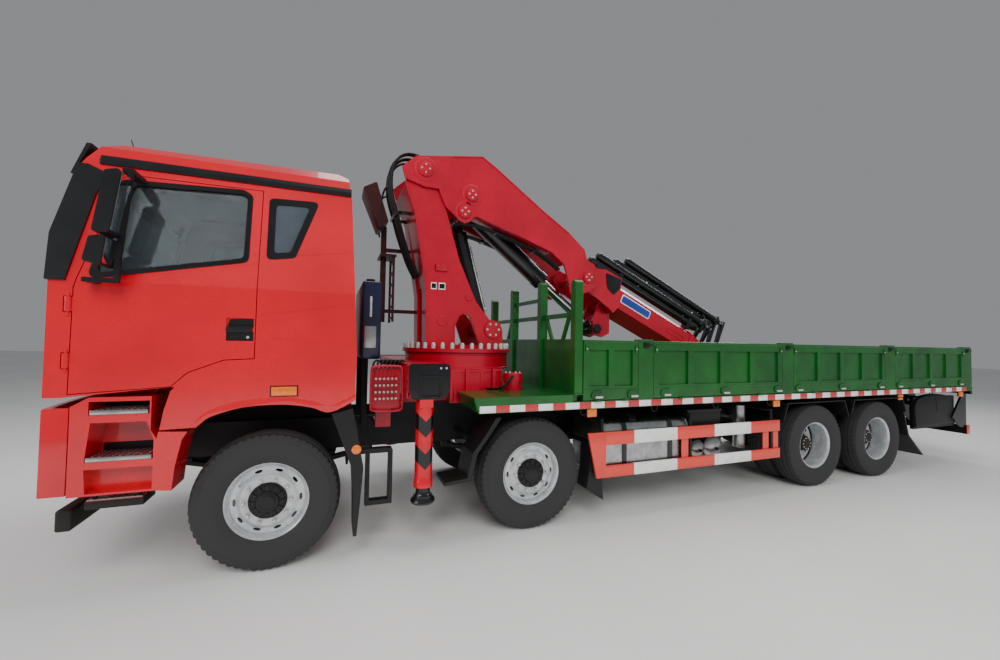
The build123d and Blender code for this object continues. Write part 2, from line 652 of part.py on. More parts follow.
# Dropside panels: framed sheet with pressed fields, upright ribs and hinge blocks below
def dropside(front, rear, s):
    """One hinged side panel between two lengths, on one side of the bed."""
    with BuildPart() as panel:
        bar((front, rear), sorted((s * panel_inner, s * half_width)), (panel_base, panel_top))
        count = max(2, round((rear - front) / 500))
        pitch = (rear - front - 70) / count
        for n in range(count):
            field = (front + 70 + n * pitch, front + n * pitch + pitch)
            bar(field, sorted((s * 1215, s * 1300)), (1390, 1765), mode=Mode.SUBTRACT)
        for x in hinge_spots(front, rear):
            hinge_bar(x, s * panel_hinge[0], 11, 20)
            bar((x - 20, x + 20), sorted((s * 1232, s * panel_hinge[0])), (1245, 1256))
            hinge_bar(x, s * panel_hinge[0], hinge_pin + running_gap, 21, mode=Mode.SUBTRACT)
    return panel.part


for number, (front, rear) in enumerate(side_panels, start=1):
    for name, s in sides.items():
        write(dropside(front, rear, s), f"dropside_{number}_{name}")

with BuildPart() as tailgate:
    bar((10255, 10300), (-1230, 1230), (panel_base, panel_top))
    for n in range(5):
        bar((10280, 10400), (-1160 + 476 * n, -1160 + 416 + 476 * n), (1390, 1765), mode=Mode.SUBTRACT)
    for y in gate_spots:
        pin(*gate_hinge, 11, y - 20, y + 20)
        bar((10292, gate_hinge[0]), (y - 20, y + 20), (1245, 1256))
        pin(*gate_hinge, hinge_pin + running_gap, y - 21, y + 21, mode=Mode.SUBTRACT)
write(tailgate.part, "tailgate")

# Outriggers: sliding beams with end covers and legs, and the jacks inside the legs
for name, s in sides.items():
    with BuildPart() as beam:
        x_in = (outrigger_x[0] + 19, outrigger_x[1] - 19)
        z_in = (outrigger_z[0] + 12 + seat_gap, outrigger_z[1] - 19)
        bar(x_in, sorted((s * 60, s * 1160)), z_in)
        bar((x_in[0] + 12, x_in[1] - 12), sorted((s * 60, s * 1140)), (z_in[0] + 12, z_in[1] - 12),
            mode=Mode.SUBTRACT)
        slab([(1062, 1400), (1062, 1620), (1430, 1620), (1430, 1400), (1390, 1312), (1100, 1312)],
             s * 1155, s * 1235)
        bar((1164, 1284), sorted((s * 1155, s * 1232)), (1240, 1330))
        post(leg_x, s * leg_y, leg_radius, 540, 1300)
        post(leg_x, s * leg_y, jack_radius + running_gap, 530, 1290, mode=Mode.SUBTRACT)
    write(beam.part, f"outrigger_{name}")
    with BuildPart() as jack:
        post(leg_x, s * leg_y, jack_radius, 450, 1240)
        post(leg_x, s * leg_y, 84, 398, 466)
    write(jack.part, f"jack_{name}")

# Crane column: turntable ring with studs, two side plates with arched slots, front plate and pins
column_outline = [(1382, 1745), (1369, 2374), (1228, 3230), (1120, 3517), (1160, 3690), (1215, 3800),
                  (1330, 3850), (1440, 3800), (1490, 3690), (1566, 3321), (1739, 2743), (1946, 2282),
                  (2110, 2085), (2235, 2060), (2275, 1960), (2275, 1745)]
front_plate = [(1382, 1745), (1369, 2374), (1228, 3230), (1120, 3517), (1150, 3517), (1260, 3230),
               (1400, 2374), (1412, 1745)]
column_slot = [(1710, 1790), (1706, 2000), (1755, 2110), (1812, 2141), (1870, 2110), (1918, 2000), (1990, 1790)]
stud_count = 36
with BuildPart() as crane_column:
    post(slew_x, 0, slew_radius, 1708, 1750)
    with Locations((axle_1 + slew_x, 0, 1775)):
        with PolarLocations(600, stud_count):
            Box(30, 30, 60)
    slab(column_outline, column_half - 32, column_half)
    slab(column_slot, column_half - 40, column_half + 10, mode=Mode.SUBTRACT)
    pin(*lift_base, 85, slot_half + 12, column_half - 30)
    pin(*lift_base, 100, column_half, column_half + 25)
    slab(front_plate, 150, column_half)
    slab([(1388, 2440), (1418, 2440), (1260, 3230), (1150, 3517), (1120, 3517), (1228, 3230)], 0, 150)
    bar((1400, 2250), (200, column_half), (1745, 1765))
    mirror(about=Plane.XZ)
    post(slew_x, 0, spigot_radius + running_gap, 1600, 1775, mode=Mode.SUBTRACT)
    pin(*lift_base, 40, -column_half, column_half)
    pin(*lift_pin, 45, -430, 430)
write(crane_column.part, "crane_column")

# Operator's seat on a post with a ladder, carried by the column
with BuildPart() as operator_seat:
    slab([(720, 3540), (860, 3620), (1000, 3180), (900, 3100)], 0, 400, rounding=15)
    bar((940, 1000), (170, 230), (2040, 3160))
    bar((920, 1100), (20, 380), (2790, 2815))
    for y in (30, 340):
        bar((1060, 1085), (y, y + 25), (2040, 2800))
    for n in range(6):
        bar((1062, 1083), (40, 350), (2080 + 130 * n, 2100 + 130 * n))
    bar((990, 1280), (180, 220), (2870, 2910))
    bar((990, 1372), (180, 220), (2150, 2190))
write(operator_seat.part, "operator_seat")

# Inner boom: two cheek plates past the column, top and bottom plates between them, bosses and pins
boom_outline = [(1083, 3686), (1228, 3822), (1981, 3943), (2171, 3827), (2773, 3413), (3129, 3189),
                (3351, 3005), (3390, 2880), (3500, 2830), (3570, 2720), (3550, 2590), (3440, 2490),
                (3300, 2440), (3157, 2448), (3137, 2573), (3063, 2788), (2884, 2928), (2442, 3083),
                (1920, 3243), (1855, 3211), (1790, 3147), (1691, 3206), (1561, 3315), (1480, 3500),
                (1330, 3500), (1120, 3560)]
top_plate = [(1640, 3888), (1981, 3943), (2171, 3827), (2773, 3413), (3129, 3189), (3109, 3164),
             (2754, 3388), (2153, 3802), (1974, 3911), (1645, 3858)]
bottom_plate = [(1920, 3243), (2442, 3083), (2884, 2928), (3063, 2788), (3083, 2813), (2900, 2956),
                (2452, 3113), (1929, 3273)]
fork_outer = fork_inner + fork_plate
with BuildPart() as inner_boom:
    slab(boom_outline, fork_inner, fork_outer)
    slab(top_plate, 0, fork_inner)
    slab(bottom_plate, 200, fork_inner)
    pin(*cylinder_pin, 60, slot_half + 12, fork_inner)
    for place in (cylinder_pin, fold_base, knuckle_pin):
        pin(*place, 75, fork_outer, fork_outer + 25)
    pin(*lift_pin, 85, fork_outer, fork_outer + 20)
    pin(*lift_pin, 45 + running_gap, 340, 450, mode=Mode.SUBTRACT)
    pin(*fold_base, 60, slot_half + 12, fork_inner)
    slab([(2170, 3800), (2240, 3770), (2280, 3850), (2240, 3900), (2190, 3880)], 0, 20)
    mirror(about=Plane.XZ)
    pin(*fold_base, 40, -fork_inner, fork_inner)
    pin(*knuckle_pin, 42, -fork_inner, fork_inner)
write(inner_boom.part, "inner_boom")


# Cylinders: a barrel turning on its base pin and a rod sliding in it
def cylinder_plane(start, end):
    """Section across a cylinder at its base pin, looking along it."""
    along = Vector(end[0] - start[0], 0, end[1] - start[1]).normalized()
    return Plane(origin=(axle_1 + start[0], 0, start[1]), x_dir=(0, 1, 0), z_dir=(along.X, 0, along.Z))


def tube(plane, radius, start, end, mode=Mode.ADD):
    """Round bar along a plane's normal, between two distances from it."""
    with BuildSketch(plane.offset(start)) as disc:
        Circle(radius)
    extrude(disc.sketch, amount=end - start, mode=mode)


cylinders = {
    "lift": (lift_base, cylinder_pin, 90, 55, 1200, 150),
    "fold": (fold_base, fold_lever_pin, 110, 60, 1380, 860),
}
for name, (start, end, barrel_radius, rod_radius, barrel_length, rod_start) in cylinders.items():
    plane = cylinder_plane(start, end)
    reach = math.dist(start, end)
    with BuildPart() as barrel:
        tube(plane, barrel_radius, 110, barrel_length)
        tube(plane, 60, 40, 120)
        pin(*start, 74, -slot_half, slot_half)
        tube(plane, rod_radius + running_gap, 125, barrel_length + 10, mode=Mode.SUBTRACT)
        pin(*start, 40 + running_gap, -slot_half - 5, slot_half + 5, mode=Mode.SUBTRACT)
    write(barrel.part, f"{name}_barrel")
    with BuildPart() as rod:
        tube(plane, rod_radius, rod_start, reach - 50)
        pin(*end, 68, -slot_half, slot_half)
        pin(*end, 42, -slot_half - 5, slot_half + 5, mode=Mode.SUBTRACT)
    write(rod.part, f"{name}_rod")

# Outer boom: six-sided tube sloping down to the rear, with the nested sections inside
slope = math.radians(boom_slope)
along_boom = (math.cos(slope), 0, -math.sin(slope))


def boom_section(s):
    """Plane across the outer boom at a distance from its start, its y square to the boom."""
    origin = (axle_1 + boom_start[0] + s * along_boom[0], 0, boom_start[1] + s * along_boom[2])
    return Plane(origin=origin, x_dir=(0, 1, 0), z_dir=along_boom)


def hexagon(radius, start, end, mode=Mode.ADD):
    """Six-sided bar along the boom with a ridge above and below."""
    with BuildSketch(boom_section(start)) as face:
        RegularPolygon(radius, 6, rotation=30)
    extrude(face.sketch, amount=end - start, mode=mode)


def rail_tube(y, height, radius, start, end, mode=Mode.ADD):
    """Round bar beside the boom, at a width and a height above the boom's middle."""
    with BuildSketch(boom_section(start)) as face:
        with Locations((y, height)):
            Circle(radius)
    extrude(face.sketch, amount=end - start, mode=mode)


def bracket(points, start, end):
    """Plate square to the boom between two distances along it."""
    extrude(outline(boom_section(start), points), amount=end - start)


boom_radius = 240
radius_step = 20
tube_wall = 9
boom_length = 1660
ram_radius = 52
ram_rod = 26
ram_places = [(-120, 290), (-120, 402), (120, 590), (120, 702)]
ram_spans = [(-340, 1705), (-250, 1850), (150, 2150), (330, 2310)]
bracket_starts = [1765, 1920, 2220, 2380]
head = [(3739, 2800), (3990, 2700), (3960, 2330), (3850, 2237), (3800, 2300)]
cheek = [(3290, 2580), (3270, 2700), (3340, 2790), (3450, 2810), (3739, 2800), (3850, 2760), (3890, 2400),
         (3840, 2260), (3600, 2420), (3400, 2530)]
lever = [(3640, 2130), (3760, 2420), (3900, 2420), (3897, 1975), (3787, 1921), (3660, 1950)]
with BuildPart() as outer_boom:
    hexagon(boom_radius, 60, boom_length)
    hexagon(boom_radius + 16, boom_length - 60, boom_length)
    slab(head, -300, 300)
    slab(cheek, 262, 300)
    slab(cheek, -262, -300)
    slab(lever, slot_half + 15, slot_half + 60)
    slab(lever, -slot_half - 15, -slot_half - 60)
    hexagon(boom_radius - tube_wall, 40, boom_length + 10, mode=Mode.SUBTRACT)
    hexagon(boom_radius - tube_wall, -400, 60, mode=Mode.SUBTRACT)
    pin(*knuckle_pin, 42 + running_gap, -310, 310, mode=Mode.SUBTRACT)
write(outer_boom.part, "outer_boom")

# First extension ram, fixed on top of the outer boom by two saddles
with BuildPart() as extension_ram:
    y, height = ram_places[0]
    rail_tube(y, height, ram_radius, *ram_spans[0])
    for start in (150, 1500):
        bracket([(y - 60, 115), (y + 60, 185), (y + 50, height), (y - 50, height)], start, start + 60)
    hexagon(boom_radius, 100, 1600, mode=Mode.SUBTRACT)
    hexagon(boom_radius + 16, 1590, 1700, mode=Mode.SUBTRACT)
    slab(head, -301, 301, mode=Mode.SUBTRACT)
    rail_tube(y, height, ram_rod + running_gap, ram_spans[0][0] + 60, 1710, mode=Mode.SUBTRACT)
write(extension_ram.part, "extension_ram")

# Four telescoping sections, each with its bracket, its ram's rod and the next ram's barrel
for number in range(1, 5):
    radius = boom_radius - radius_step * number
    start = bracket_starts[number - 1]
    y, height = ram_places[number - 1]
    with BuildPart() as section:
        hexagon(radius, 90 + 10 * number, start + 40)
        hexagon(radius + radius_step - tube_wall - seat_gap, 90 + 10 * number, 150 + 10 * number)
        hexagon(radius + 12, start, start + 40)
        top = [(y - 45, height + 45), (y + 45, height + 45)]
        base = [(min(y + 60, 100), radius - 60), (max(y - 60, -100), radius - 60)]
        bracket(top + base, start, start + 40)
        hexagon(radius - tube_wall, 50, start + 60, mode=Mode.SUBTRACT)
        rail_tube(y, height, ram_rod, ram_spans[number - 1][0] + 90, start + 20)
        if number < 4:
            next_y, next_height = ram_places[number]
            next_start, next_end = ram_spans[number]
            bracket([(min(y, next_y) - 45, height - 30), (max(y, next_y) + 45, height - 30),
                     (next_y + 45, next_height + 45), (next_y - 45, next_height + 45)], start, start + 40)
            rail_tube(next_y, next_height, ram_radius, next_start, next_end)
            rail_tube(next_y, next_height, ram_rod + running_gap, next_start + 60, next_end + 10,
                      mode=Mode.SUBTRACT)
        else:
            bracket([(-60, -radius + 20), (60, -radius + 20), (60, radius - 20), (-60, radius - 20)],
                    start, start + 40)
    write(section.part, f"section_{number}")
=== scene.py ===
"""Lorry with a knuckle-boom crane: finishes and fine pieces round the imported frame.

Lengths are in metres. X runs to the rear from the first axle, and each piece is moved to the frame's
own origin when it is finished. Y is to the right-hand side and Z is up from the ground.
"""
import math

import bmesh
import bpy
from mathutils import Matrix, Vector


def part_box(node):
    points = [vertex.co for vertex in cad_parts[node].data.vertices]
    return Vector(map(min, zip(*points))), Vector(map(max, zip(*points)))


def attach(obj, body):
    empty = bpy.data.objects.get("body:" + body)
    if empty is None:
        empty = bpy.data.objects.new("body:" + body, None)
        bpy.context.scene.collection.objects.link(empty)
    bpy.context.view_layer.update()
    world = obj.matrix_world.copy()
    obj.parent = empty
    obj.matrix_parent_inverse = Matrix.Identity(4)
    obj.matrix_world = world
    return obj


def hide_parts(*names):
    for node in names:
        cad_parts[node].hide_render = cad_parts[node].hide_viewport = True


bl_info = {
    "name": "Knuckle-boom lorry crane",
    "version": (1, 0, 0),
    "blender": (4, 5, 0),
    "location": "View3D > Sidebar > Lorry crane",
    "description": "Makes the finishes and the fine pieces of a drop-side lorry with a folding crane",
    "category": "Object",
}

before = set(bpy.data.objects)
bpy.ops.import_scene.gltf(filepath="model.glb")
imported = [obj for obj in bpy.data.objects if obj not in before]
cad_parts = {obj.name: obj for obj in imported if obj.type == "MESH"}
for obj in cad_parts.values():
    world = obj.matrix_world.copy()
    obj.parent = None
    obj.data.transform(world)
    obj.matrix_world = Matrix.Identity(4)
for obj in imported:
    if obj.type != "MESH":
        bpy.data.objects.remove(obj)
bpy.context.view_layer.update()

wheel_low, wheel_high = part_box("wheel_1_left")
AXLE_1 = (wheel_low.x + wheel_high.x) / 2
SIDES = {"left": -1, "right": 1}
AXLES = (0.0, 2.3, 6.42, 7.77)
HUB_HEIGHT = 0.54
WHEEL_FACETS = 96
NUT_CIRCLE = 0.1675
SINGLE = 1.02
TWINS = (0.745, 1.085)
PANELS = ((2.815, 3.495), (3.705, 5.731), (5.943, 7.900), (8.142, 10.035))
CAB_WIDTHS = ((0.0, 1.240), (2.200, 1.240), (3.080, 1.109), (3.190, 1.060), (3.290, 0.930), (3.310, 0.6))
BOOM_START = (3.780, 2.550)
BOOM_SLOPE = math.radians(25)
RAM_PLACES = ((-0.120, 0.290), (-0.120, 0.402), (0.120, 0.590), (0.120, 0.702))
RAM_SPANS = ((-0.340, 1.705), (-0.250, 1.850), (0.150, 2.150), (0.330, 2.310))
BRACKETS = (1.765, 1.920, 2.220, 2.380)
SLEW_X = 1.830
# Pins of the crane from the side, as (length, height)
COLUMN_PIN = (1.330, 3.690)
KNUCKLE_PIN = (3.400, 2.660)
LIFT_FOOT = (2.150, 1.970)
LIFT_EYE = (1.780, 3.280)
FOLD_FOOT = (1.860, 3.480)
FOLD_EYE = (3.700, 2.030)
# Half widths over the cheek plates
COLUMN_CHEEK = 0.360
BOOM_CHEEK = 0.396
# Outrigger leg's middle
LEG_X = 1.224
LEG_Y = 1.150
# Painted chevrons: slope of an arm, foot and head of the marks, one repeat and its black share
CHEVRON_SLOPE = -0.95
CHEVRON_FOOT = 0.698
CHEVRON_HEAD = 1.13
CHEVRON_REPEAT = 0.2815
CHEVRON_BLACK = 0.49
EDGE_RAIL_FOOT = 1.161
# Edges turning more than the first are bevelled, in radians, and more than the second stay sharp
BEVEL_ANGLE = 0.35
SHARP_ANGLE = math.radians(38)
# Camera solved from the photograph: focal length on a 36 mm sensor, place, and yaw, pitch and roll in degrees
FOCAL_LENGTH = 15.316
SENSOR_WIDTH = 36.0
CAMERA_PLACE = (-4.004, -4.9485, 1.8158)
CAMERA_TURN = (21.394, 1.779, 0.983)
# Area lamps as name, place, width in metres and power in watts
SOFT_LIGHTS = (("key", (-5.5, -11.0, 9.0), 7.0, 1250), ("fill", (7.0, -12.0, 5.0), 8.0, 520),
               ("front", (-14.0, -3.0, 6.0), 6.0, 450), ("top", (0.0, 1.0, 11.0), 9.0, 700),
               ("rear", (10.0, 9.0, 8.0), 7.0, 600))


# Colours and materials
def linear(code):
    """Linear RGBA from an sRGB hex value."""
    parts = [int(code[n:n + 2], 16) / 255 for n in (1, 3, 5)]
    return [c / 12.92 if c <= 0.04045 else ((c + 0.055) / 1.055) ** 2.4 for c in parts] + [1.0]


def add_node(tree, kind, inputs=None, **settings):
    """Adds a node with its settings, and sets or links its inputs by name or number."""
    made = tree.nodes.new(kind)
    for name, value in settings.items():
        setattr(made, name, value)
    for name, value in (inputs or {}).items():
        if isinstance(value, bpy.types.NodeSocket):
            tree.links.new(value, made.inputs[name])
        else:
            made.inputs[name].default_value = value
    return made


def surface(name, colour, shade, patch, rough, grain, relief, shader=None, dust=0.0, pattern=None):
    """Finish whose colour and roughness vary in patches and whose relief is a grain, sizes in metres.

    pattern takes the tree, the place and the tint and gives another tint, for painted marks.
    """
    made = bpy.data.materials.new(name)
    made.use_nodes = True
    tree = made.node_tree
    tree.nodes.clear()
    place = add_node(tree, "ShaderNodeTexCoord").outputs["Object"]
    wide = add_node(tree, "ShaderNodeTexNoise",
                    {"Vector": place, "Scale": 1 / patch, "Detail": 5.0, "Roughness": 0.62})
    spread = add_node(tree, "ShaderNodeMapRange",
                      {"Value": wide.outputs["Fac"], "From Min": 0.36, "From Max": 0.66})
    tint = add_node(tree, "ShaderNodeMix",
                    {0: spread.outputs["Result"], 6: colour, 7: shade}, data_type="RGBA").outputs[2]
    if pattern:
        tint = pattern(tree, place, tint)
    if dust:
        height = add_node(tree, "ShaderNodeSeparateXYZ", {"Vector": place}).outputs["Z"]
        low = add_node(tree, "ShaderNodeMapRange",
                       {"Value": height, "From Min": 1.3, "From Max": 0.1, "To Max": dust}).outputs["Result"]
        thick = add_node(tree, "ShaderNodeMath", {0: low, 1: wide.outputs["Fac"]}, operation="MULTIPLY")
        tint = add_node(tree, "ShaderNodeMix", {0: thick.outputs["Value"], 6: tint, 7: linear("#8A7F70")},
                        data_type="RGBA").outputs[2]
    fine = add_node(tree, "ShaderNodeTexNoise", {"Vector": place, "Scale": 1 / grain, "Detail": 3.0})
    gloss = add_node(tree, "ShaderNodeMapRange", {"Value": wide.outputs["Fac"], "From Min": 0.3, "From Max": 0.7,
                                                  "To Min": rough[0], "To Max": rough[1]})
    bump = add_node(tree, "ShaderNodeBump",
                    {"Height": fine.outputs["Fac"], "Strength": 1.0, "Distance": relief})
    body = add_node(tree, "ShaderNodeBsdfPrincipled",
                    {"Base Color": tint, "Roughness": gloss.outputs["Result"], "Normal": bump.outputs["Normal"],
                     **(shader or {})})
    add_node(tree, "ShaderNodeOutputMaterial", {"Surface": body.outputs["BSDF"]})
    return made


def chevrons(tree, place, tint):
    """Red leg with two black chevrons that point down, drawn from height and distance to the leg's middle."""
    parts = add_node(tree, "ShaderNodeSeparateXYZ", {"Vector": place})
    away = add_node(tree, "ShaderNodeMath", {0: parts.outputs["X"], 1: AXLE_1 + LEG_X}, operation="SUBTRACT")
    away = add_node(tree, "ShaderNodeMath", {0: away.outputs["Value"]}, operation="ABSOLUTE")
    level = add_node(tree, "ShaderNodeMath", {0: away.outputs["Value"], 1: CHEVRON_SLOPE, 2: parts.outputs["Z"]},
                     operation="MULTIPLY_ADD").outputs["Value"]
    bands = add_node(tree, "ShaderNodeMath", {0: level, 1: CHEVRON_FOOT}, operation="SUBTRACT")
    bands = add_node(tree, "ShaderNodeMath", {0: bands.outputs["Value"], 1: CHEVRON_REPEAT}, operation="DIVIDE")
    share = add_node(tree, "ShaderNodeMath", {0: bands.outputs["Value"]}, operation="FRACT")
    dark = add_node(tree, "ShaderNodeMath", {0: share.outputs["Value"], 1: CHEVRON_BLACK}, operation="LESS_THAN")
    above = add_node(tree, "ShaderNodeMath", {0: level, 1: CHEVRON_FOOT}, operation="GREATER_THAN")
    below = add_node(tree, "ShaderNodeMath", {0: level, 1: CHEVRON_HEAD}, operation="LESS_THAN")
    for bound in (above, below):
        dark = add_node(tree, "ShaderNodeMath", {0: dark.outputs["Value"], 1: bound.outputs["Value"]},
                        operation="MULTIPLY")
    return add_node(tree, "ShaderNodeMix", {0: dark.outputs["Value"], 6: tint, 7: linear("#0E0E10")},
                    data_type="RGBA").outputs[2]


def black_and_shade_below(tree, place, tint):
    """Near-black on everything lower than the edge rail: chassis paint on the rear side plate, painted shade on the
    cross-bearers under the deck.
    """
    height = add_node(tree, "ShaderNodeSeparateXYZ", {"Vector": place}).outputs["Z"]
    # Below the rail: the real black side plate, and painted shade on the cross-bearers under the deck
    low = add_node(tree, "ShaderNodeMath", {0: height, 1: EDGE_RAIL_FOOT}, operation="LESS_THAN")
    return add_node(tree, "ShaderNodeMix", {0: low.outputs["Value"], 6: tint, 7: linear("#08090A")},
                    data_type="RGBA").outputs[2]


def weave(tree, place, tint):
    """Two crossed sets of threads, drawn 6 mm apart, coarser than real cloth so that they show."""
    for axis in ("X", "Z"):
        threads = add_node(tree, "ShaderNodeTexWave", {"Vector": place, "Scale": 50.0, "Distortion": 0.4},
                           bands_direction=axis)
        tint = add_node(tree, "ShaderNodeMix", {0: threads.outputs["Fac"], 6: tint, 7: linear("#2C2E33")},
                        data_type="RGBA").outputs[2]
    return tint


def prisms(tree, place, tint):
    """Cells of reflective sheet, 6 mm across as on the real tape."""
    cells = add_node(tree, "ShaderNodeTexVoronoi", {"Vector": place, "Scale": 160.0}, feature="DISTANCE_TO_EDGE")
    lines = add_node(tree, "ShaderNodeMapRange",
                     {"Value": cells.outputs["Distance"], "From Max": 0.12, "To Min": 0.35, "To Max": 0.0})
    return add_node(tree, "ShaderNodeMix", {0: lines.outputs["Result"], 6: tint, 7: linear("#9C9C9C")},
                    data_type="RGBA").outputs[2]


GLOSSY_COAT = {"Coat Weight": 0.7, "Coat Roughness": 0.06}
THIN_COAT = {"Coat Weight": 0.35, "Coat Roughness": 0.15}
FINISHES = {
    # Two-pack enamel, sprayed and baked: deep gloss with a faint orange peel
    "cab_enamel": dict(colour="#D2001C", shade="#BE0018", patch=0.9, rough=(0.24, 0.34), grain=0.010, relief=0.00012,
                       shader=GLOSSY_COAT, dust=0.04),
    # Crane enamel sprayed over welded plate: a little bluer red, satin, with wavy plate under it
    "crane_enamel": dict(colour="#B80428", shade="#A00322", patch=0.5, rough=(0.32, 0.45), grain=0.014,
                         relief=0.00025, shader=THIN_COAT, dust=0.06),
    # Brushed-on alkyd paint on the bed's folded sheet: mid green, satin, uneven film
    "bed_enamel": dict(colour="#0A5A1A", shade="#074713", patch=0.35, rough=(0.30, 0.48), grain=0.012, relief=0.0003,
                       shader=THIN_COAT, dust=0.05),
    # Bed paint on the deck, which gives way below the edge rail to near-black: chassis paint on the rear side plate,
    # painted shade on the cross-bearers under the deck
    "deck_enamel": dict(colour="#0A5A1A", shade="#074713", patch=0.35, rough=(0.30, 0.48), grain=0.012,
                        relief=0.0003, shader=THIN_COAT, pattern=black_and_shade_below),
    # Chassis paint, dipped: near-black, half matt, dusty low down
    "chassis_enamel": dict(colour="#060607", shade="#0C0D0E", patch=0.25, rough=(0.45, 0.62), grain=0.006,
                           relief=0.0003, dust=0.08),
    # Moulded ABS with an etched grain of about 2 mm: soft dark grey
    "moulded_plastic": dict(colour="#0B0C0E", shade="#121315", patch=0.3, rough=(0.44, 0.56), grain=0.002,
                            relief=0.0002, dust=0.05),
    # Vulcanised rubber, mould-cured: dark grey and dull, road dust in the grain
    "tyre_rubber": dict(colour="#0C0C0D", shade="#161514", patch=0.10, rough=(0.62, 0.80), grain=0.003, relief=0.0004,
                        dust=0.10),
    # Silver wheel paint on pressed steel: fine metal flake under a thin film
    "wheel_silver": dict(colour="#D6D9DB", shade="#BFC3C6", patch=0.08, rough=(0.26, 0.40), grain=0.0015,
                         relief=0.0001, shader={"Metallic": 0.55}, dust=0.15),
    # Zinc-plated steel bolts: pale, slightly clouded
    "zinc_plate": dict(colour="#DAD9D2", shade="#BDBCB2", patch=0.02, rough=(0.28, 0.42), grain=0.002, relief=0.0001,
                       shader={"Metallic": 0.45}),
    # Rolled aluminium sheet: bright with streaks from the mill
    "aluminium_sheet": dict(colour="#C9CBCA", shade="#A9ACAB", patch=0.12, rough=(0.24, 0.42), grain=0.003,
                            relief=0.00015, shader={"Metallic": 1.0}),
    # Hard chrome on ground rod: mirror-like
    "hard_chrome": dict(colour="#E2E4E6", shade="#D2D5D8", patch=0.05, rough=(0.05, 0.12), grain=0.001,
                        relief=0.00001, shader={"Metallic": 1.0}),
    # Cast and forged iron under thin black wash
    "cast_iron": dict(colour="#121110", shade="#1D1B19", patch=0.08, rough=(0.6, 0.8), grain=0.004, relief=0.0006,
                      dust=0.12),
    # Black gloss paint on honed cylinder tube
    "cylinder_enamel": dict(colour="#0C0D0F", shade="#17181B", patch=0.3, rough=(0.22, 0.34), grain=0.008,
                            relief=0.00015, shader=THIN_COAT),
    # Rubber hose cover with a fabric print
    "hose_rubber": dict(colour="#101011", shade="#1D1D1E", patch=0.05, rough=(0.5, 0.65), grain=0.002, relief=0.0003),
    # Toughened glass: pale grey, with a breath of dust
    "window_glass": dict(colour="#8E999E", shade="#7E898E", patch=0.5, rough=(0.02, 0.06), grain=0.05,
                         relief=0.00002, shader={"Transmission Weight": 0.92, "IOR": 1.5}),
    # Ceramic-edged privacy glass: nearly black from outside
    "dark_glass": dict(colour="#4A535A", shade="#3A4248", patch=0.4, rough=(0.04, 0.10), grain=0.05, relief=0.00002,
                       shader=GLOSSY_COAT),
    # Silvered mirror glass
    "mirror_glass": dict(colour="#D5DBDF", shade="#C2C9CE", patch=0.3, rough=(0.02, 0.05), grain=0.05,
                         relief=0.00001, shader={"Metallic": 1.0}),
    # Moulded polycarbonate lenses with fine flutes
    "amber_lens": dict(colour="#F07800", shade="#D85E00", patch=0.02, rough=(0.12, 0.22), grain=0.004, relief=0.0005,
                       shader=GLOSSY_COAT),
    "red_lens": dict(colour="#C3121A", shade="#9C0C12", patch=0.02, rough=(0.12, 0.22), grain=0.004, relief=0.0005,
                     shader=GLOSSY_COAT),
    "clear_lens": dict(colour="#DDE3E6", shade="#BFC8CD", patch=0.05, rough=(0.05, 0.12), grain=0.006, relief=0.0004,
                       shader={"Transmission Weight": 0.35, "Coat Weight": 0.8}),
    # Reflective sheet in red and white, prismatic cells
    "tape_red": dict(colour="#C80018", shade="#B00014", patch=0.05, rough=(0.25, 0.35), grain=0.004, relief=0.0001,
                     shader=THIN_COAT, pattern=prisms),
    "tape_white": dict(colour="#F3F3F1", shade="#E2E2DF", patch=0.05, rough=(0.25, 0.35), grain=0.004, relief=0.0001,
                       shader=THIN_COAT, pattern=prisms),
    # Side-guard paint on folded steel
    "guard_red": dict(colour="#CE0A14", shade="#B80812", patch=0.2, rough=(0.32, 0.46), grain=0.010, relief=0.0002,
                      shader=THIN_COAT, dust=0.10),
    "guard_white": dict(colour="#F1F1EF", shade="#DFDFDC", patch=0.2, rough=(0.32, 0.46), grain=0.010, relief=0.0002,
                        shader=THIN_COAT, dust=0.12),
    # Oil tank behind the cab: dark navy enamel
    "navy_enamel": dict(colour="#121A3A", shade="#0B1127", patch=0.3, rough=(0.3, 0.45), grain=0.012, relief=0.0002,
                        shader=THIN_COAT),
    # Leg tube in red enamel with black painted chevrons
    "leg_enamel": dict(colour="#D2001C", shade="#BE0018", patch=0.2, rough=(0.25, 0.36), grain=0.010, relief=0.00015,
                       shader=THIN_COAT, pattern=chevrons),
    # Seat vinyl, embossed: dark maroon with a leather-like grain of 4 mm
    "seat_vinyl": dict(colour="#3B1216", shade="#2A0C10", patch=0.15, rough=(0.45, 0.6), grain=0.004, relief=0.0006),
    # Woven seat cloth over foam
    "seat_cloth": dict(colour="#7E8FA8", shade="#5E6E88", patch=0.1, rough=(0.8, 0.92), grain=0.003, relief=0.0004,
                       shader={"Sheen Weight": 0.3}, pattern=weave),
    # Moulded grey trim in the cab
    "cab_plastic": dict(colour="#6F7478", shade="#5C6165", patch=0.3, rough=(0.55, 0.7), grain=0.003, relief=0.0003),
    # Printed blue film under varnish, left blank
    "blue_film": dict(colour="#1C3F9E", shade="#183587", patch=0.2, rough=(0.2, 0.3), grain=0.01, relief=0.0001,
                      shader=GLOSSY_COAT),
    "white_film": dict(colour="#F4F4F2", shade="#E6E6E3", patch=0.2, rough=(0.2, 0.3), grain=0.01, relief=0.0001,
                       shader=GLOSSY_COAT),
    # Sealed concrete studio floor, pale
    "pale_floor": dict(colour="#E4E4E2", shade="#DCDCDA", patch=3.0, rough=(0.6, 0.75), grain=0.05, relief=0.0002),
}
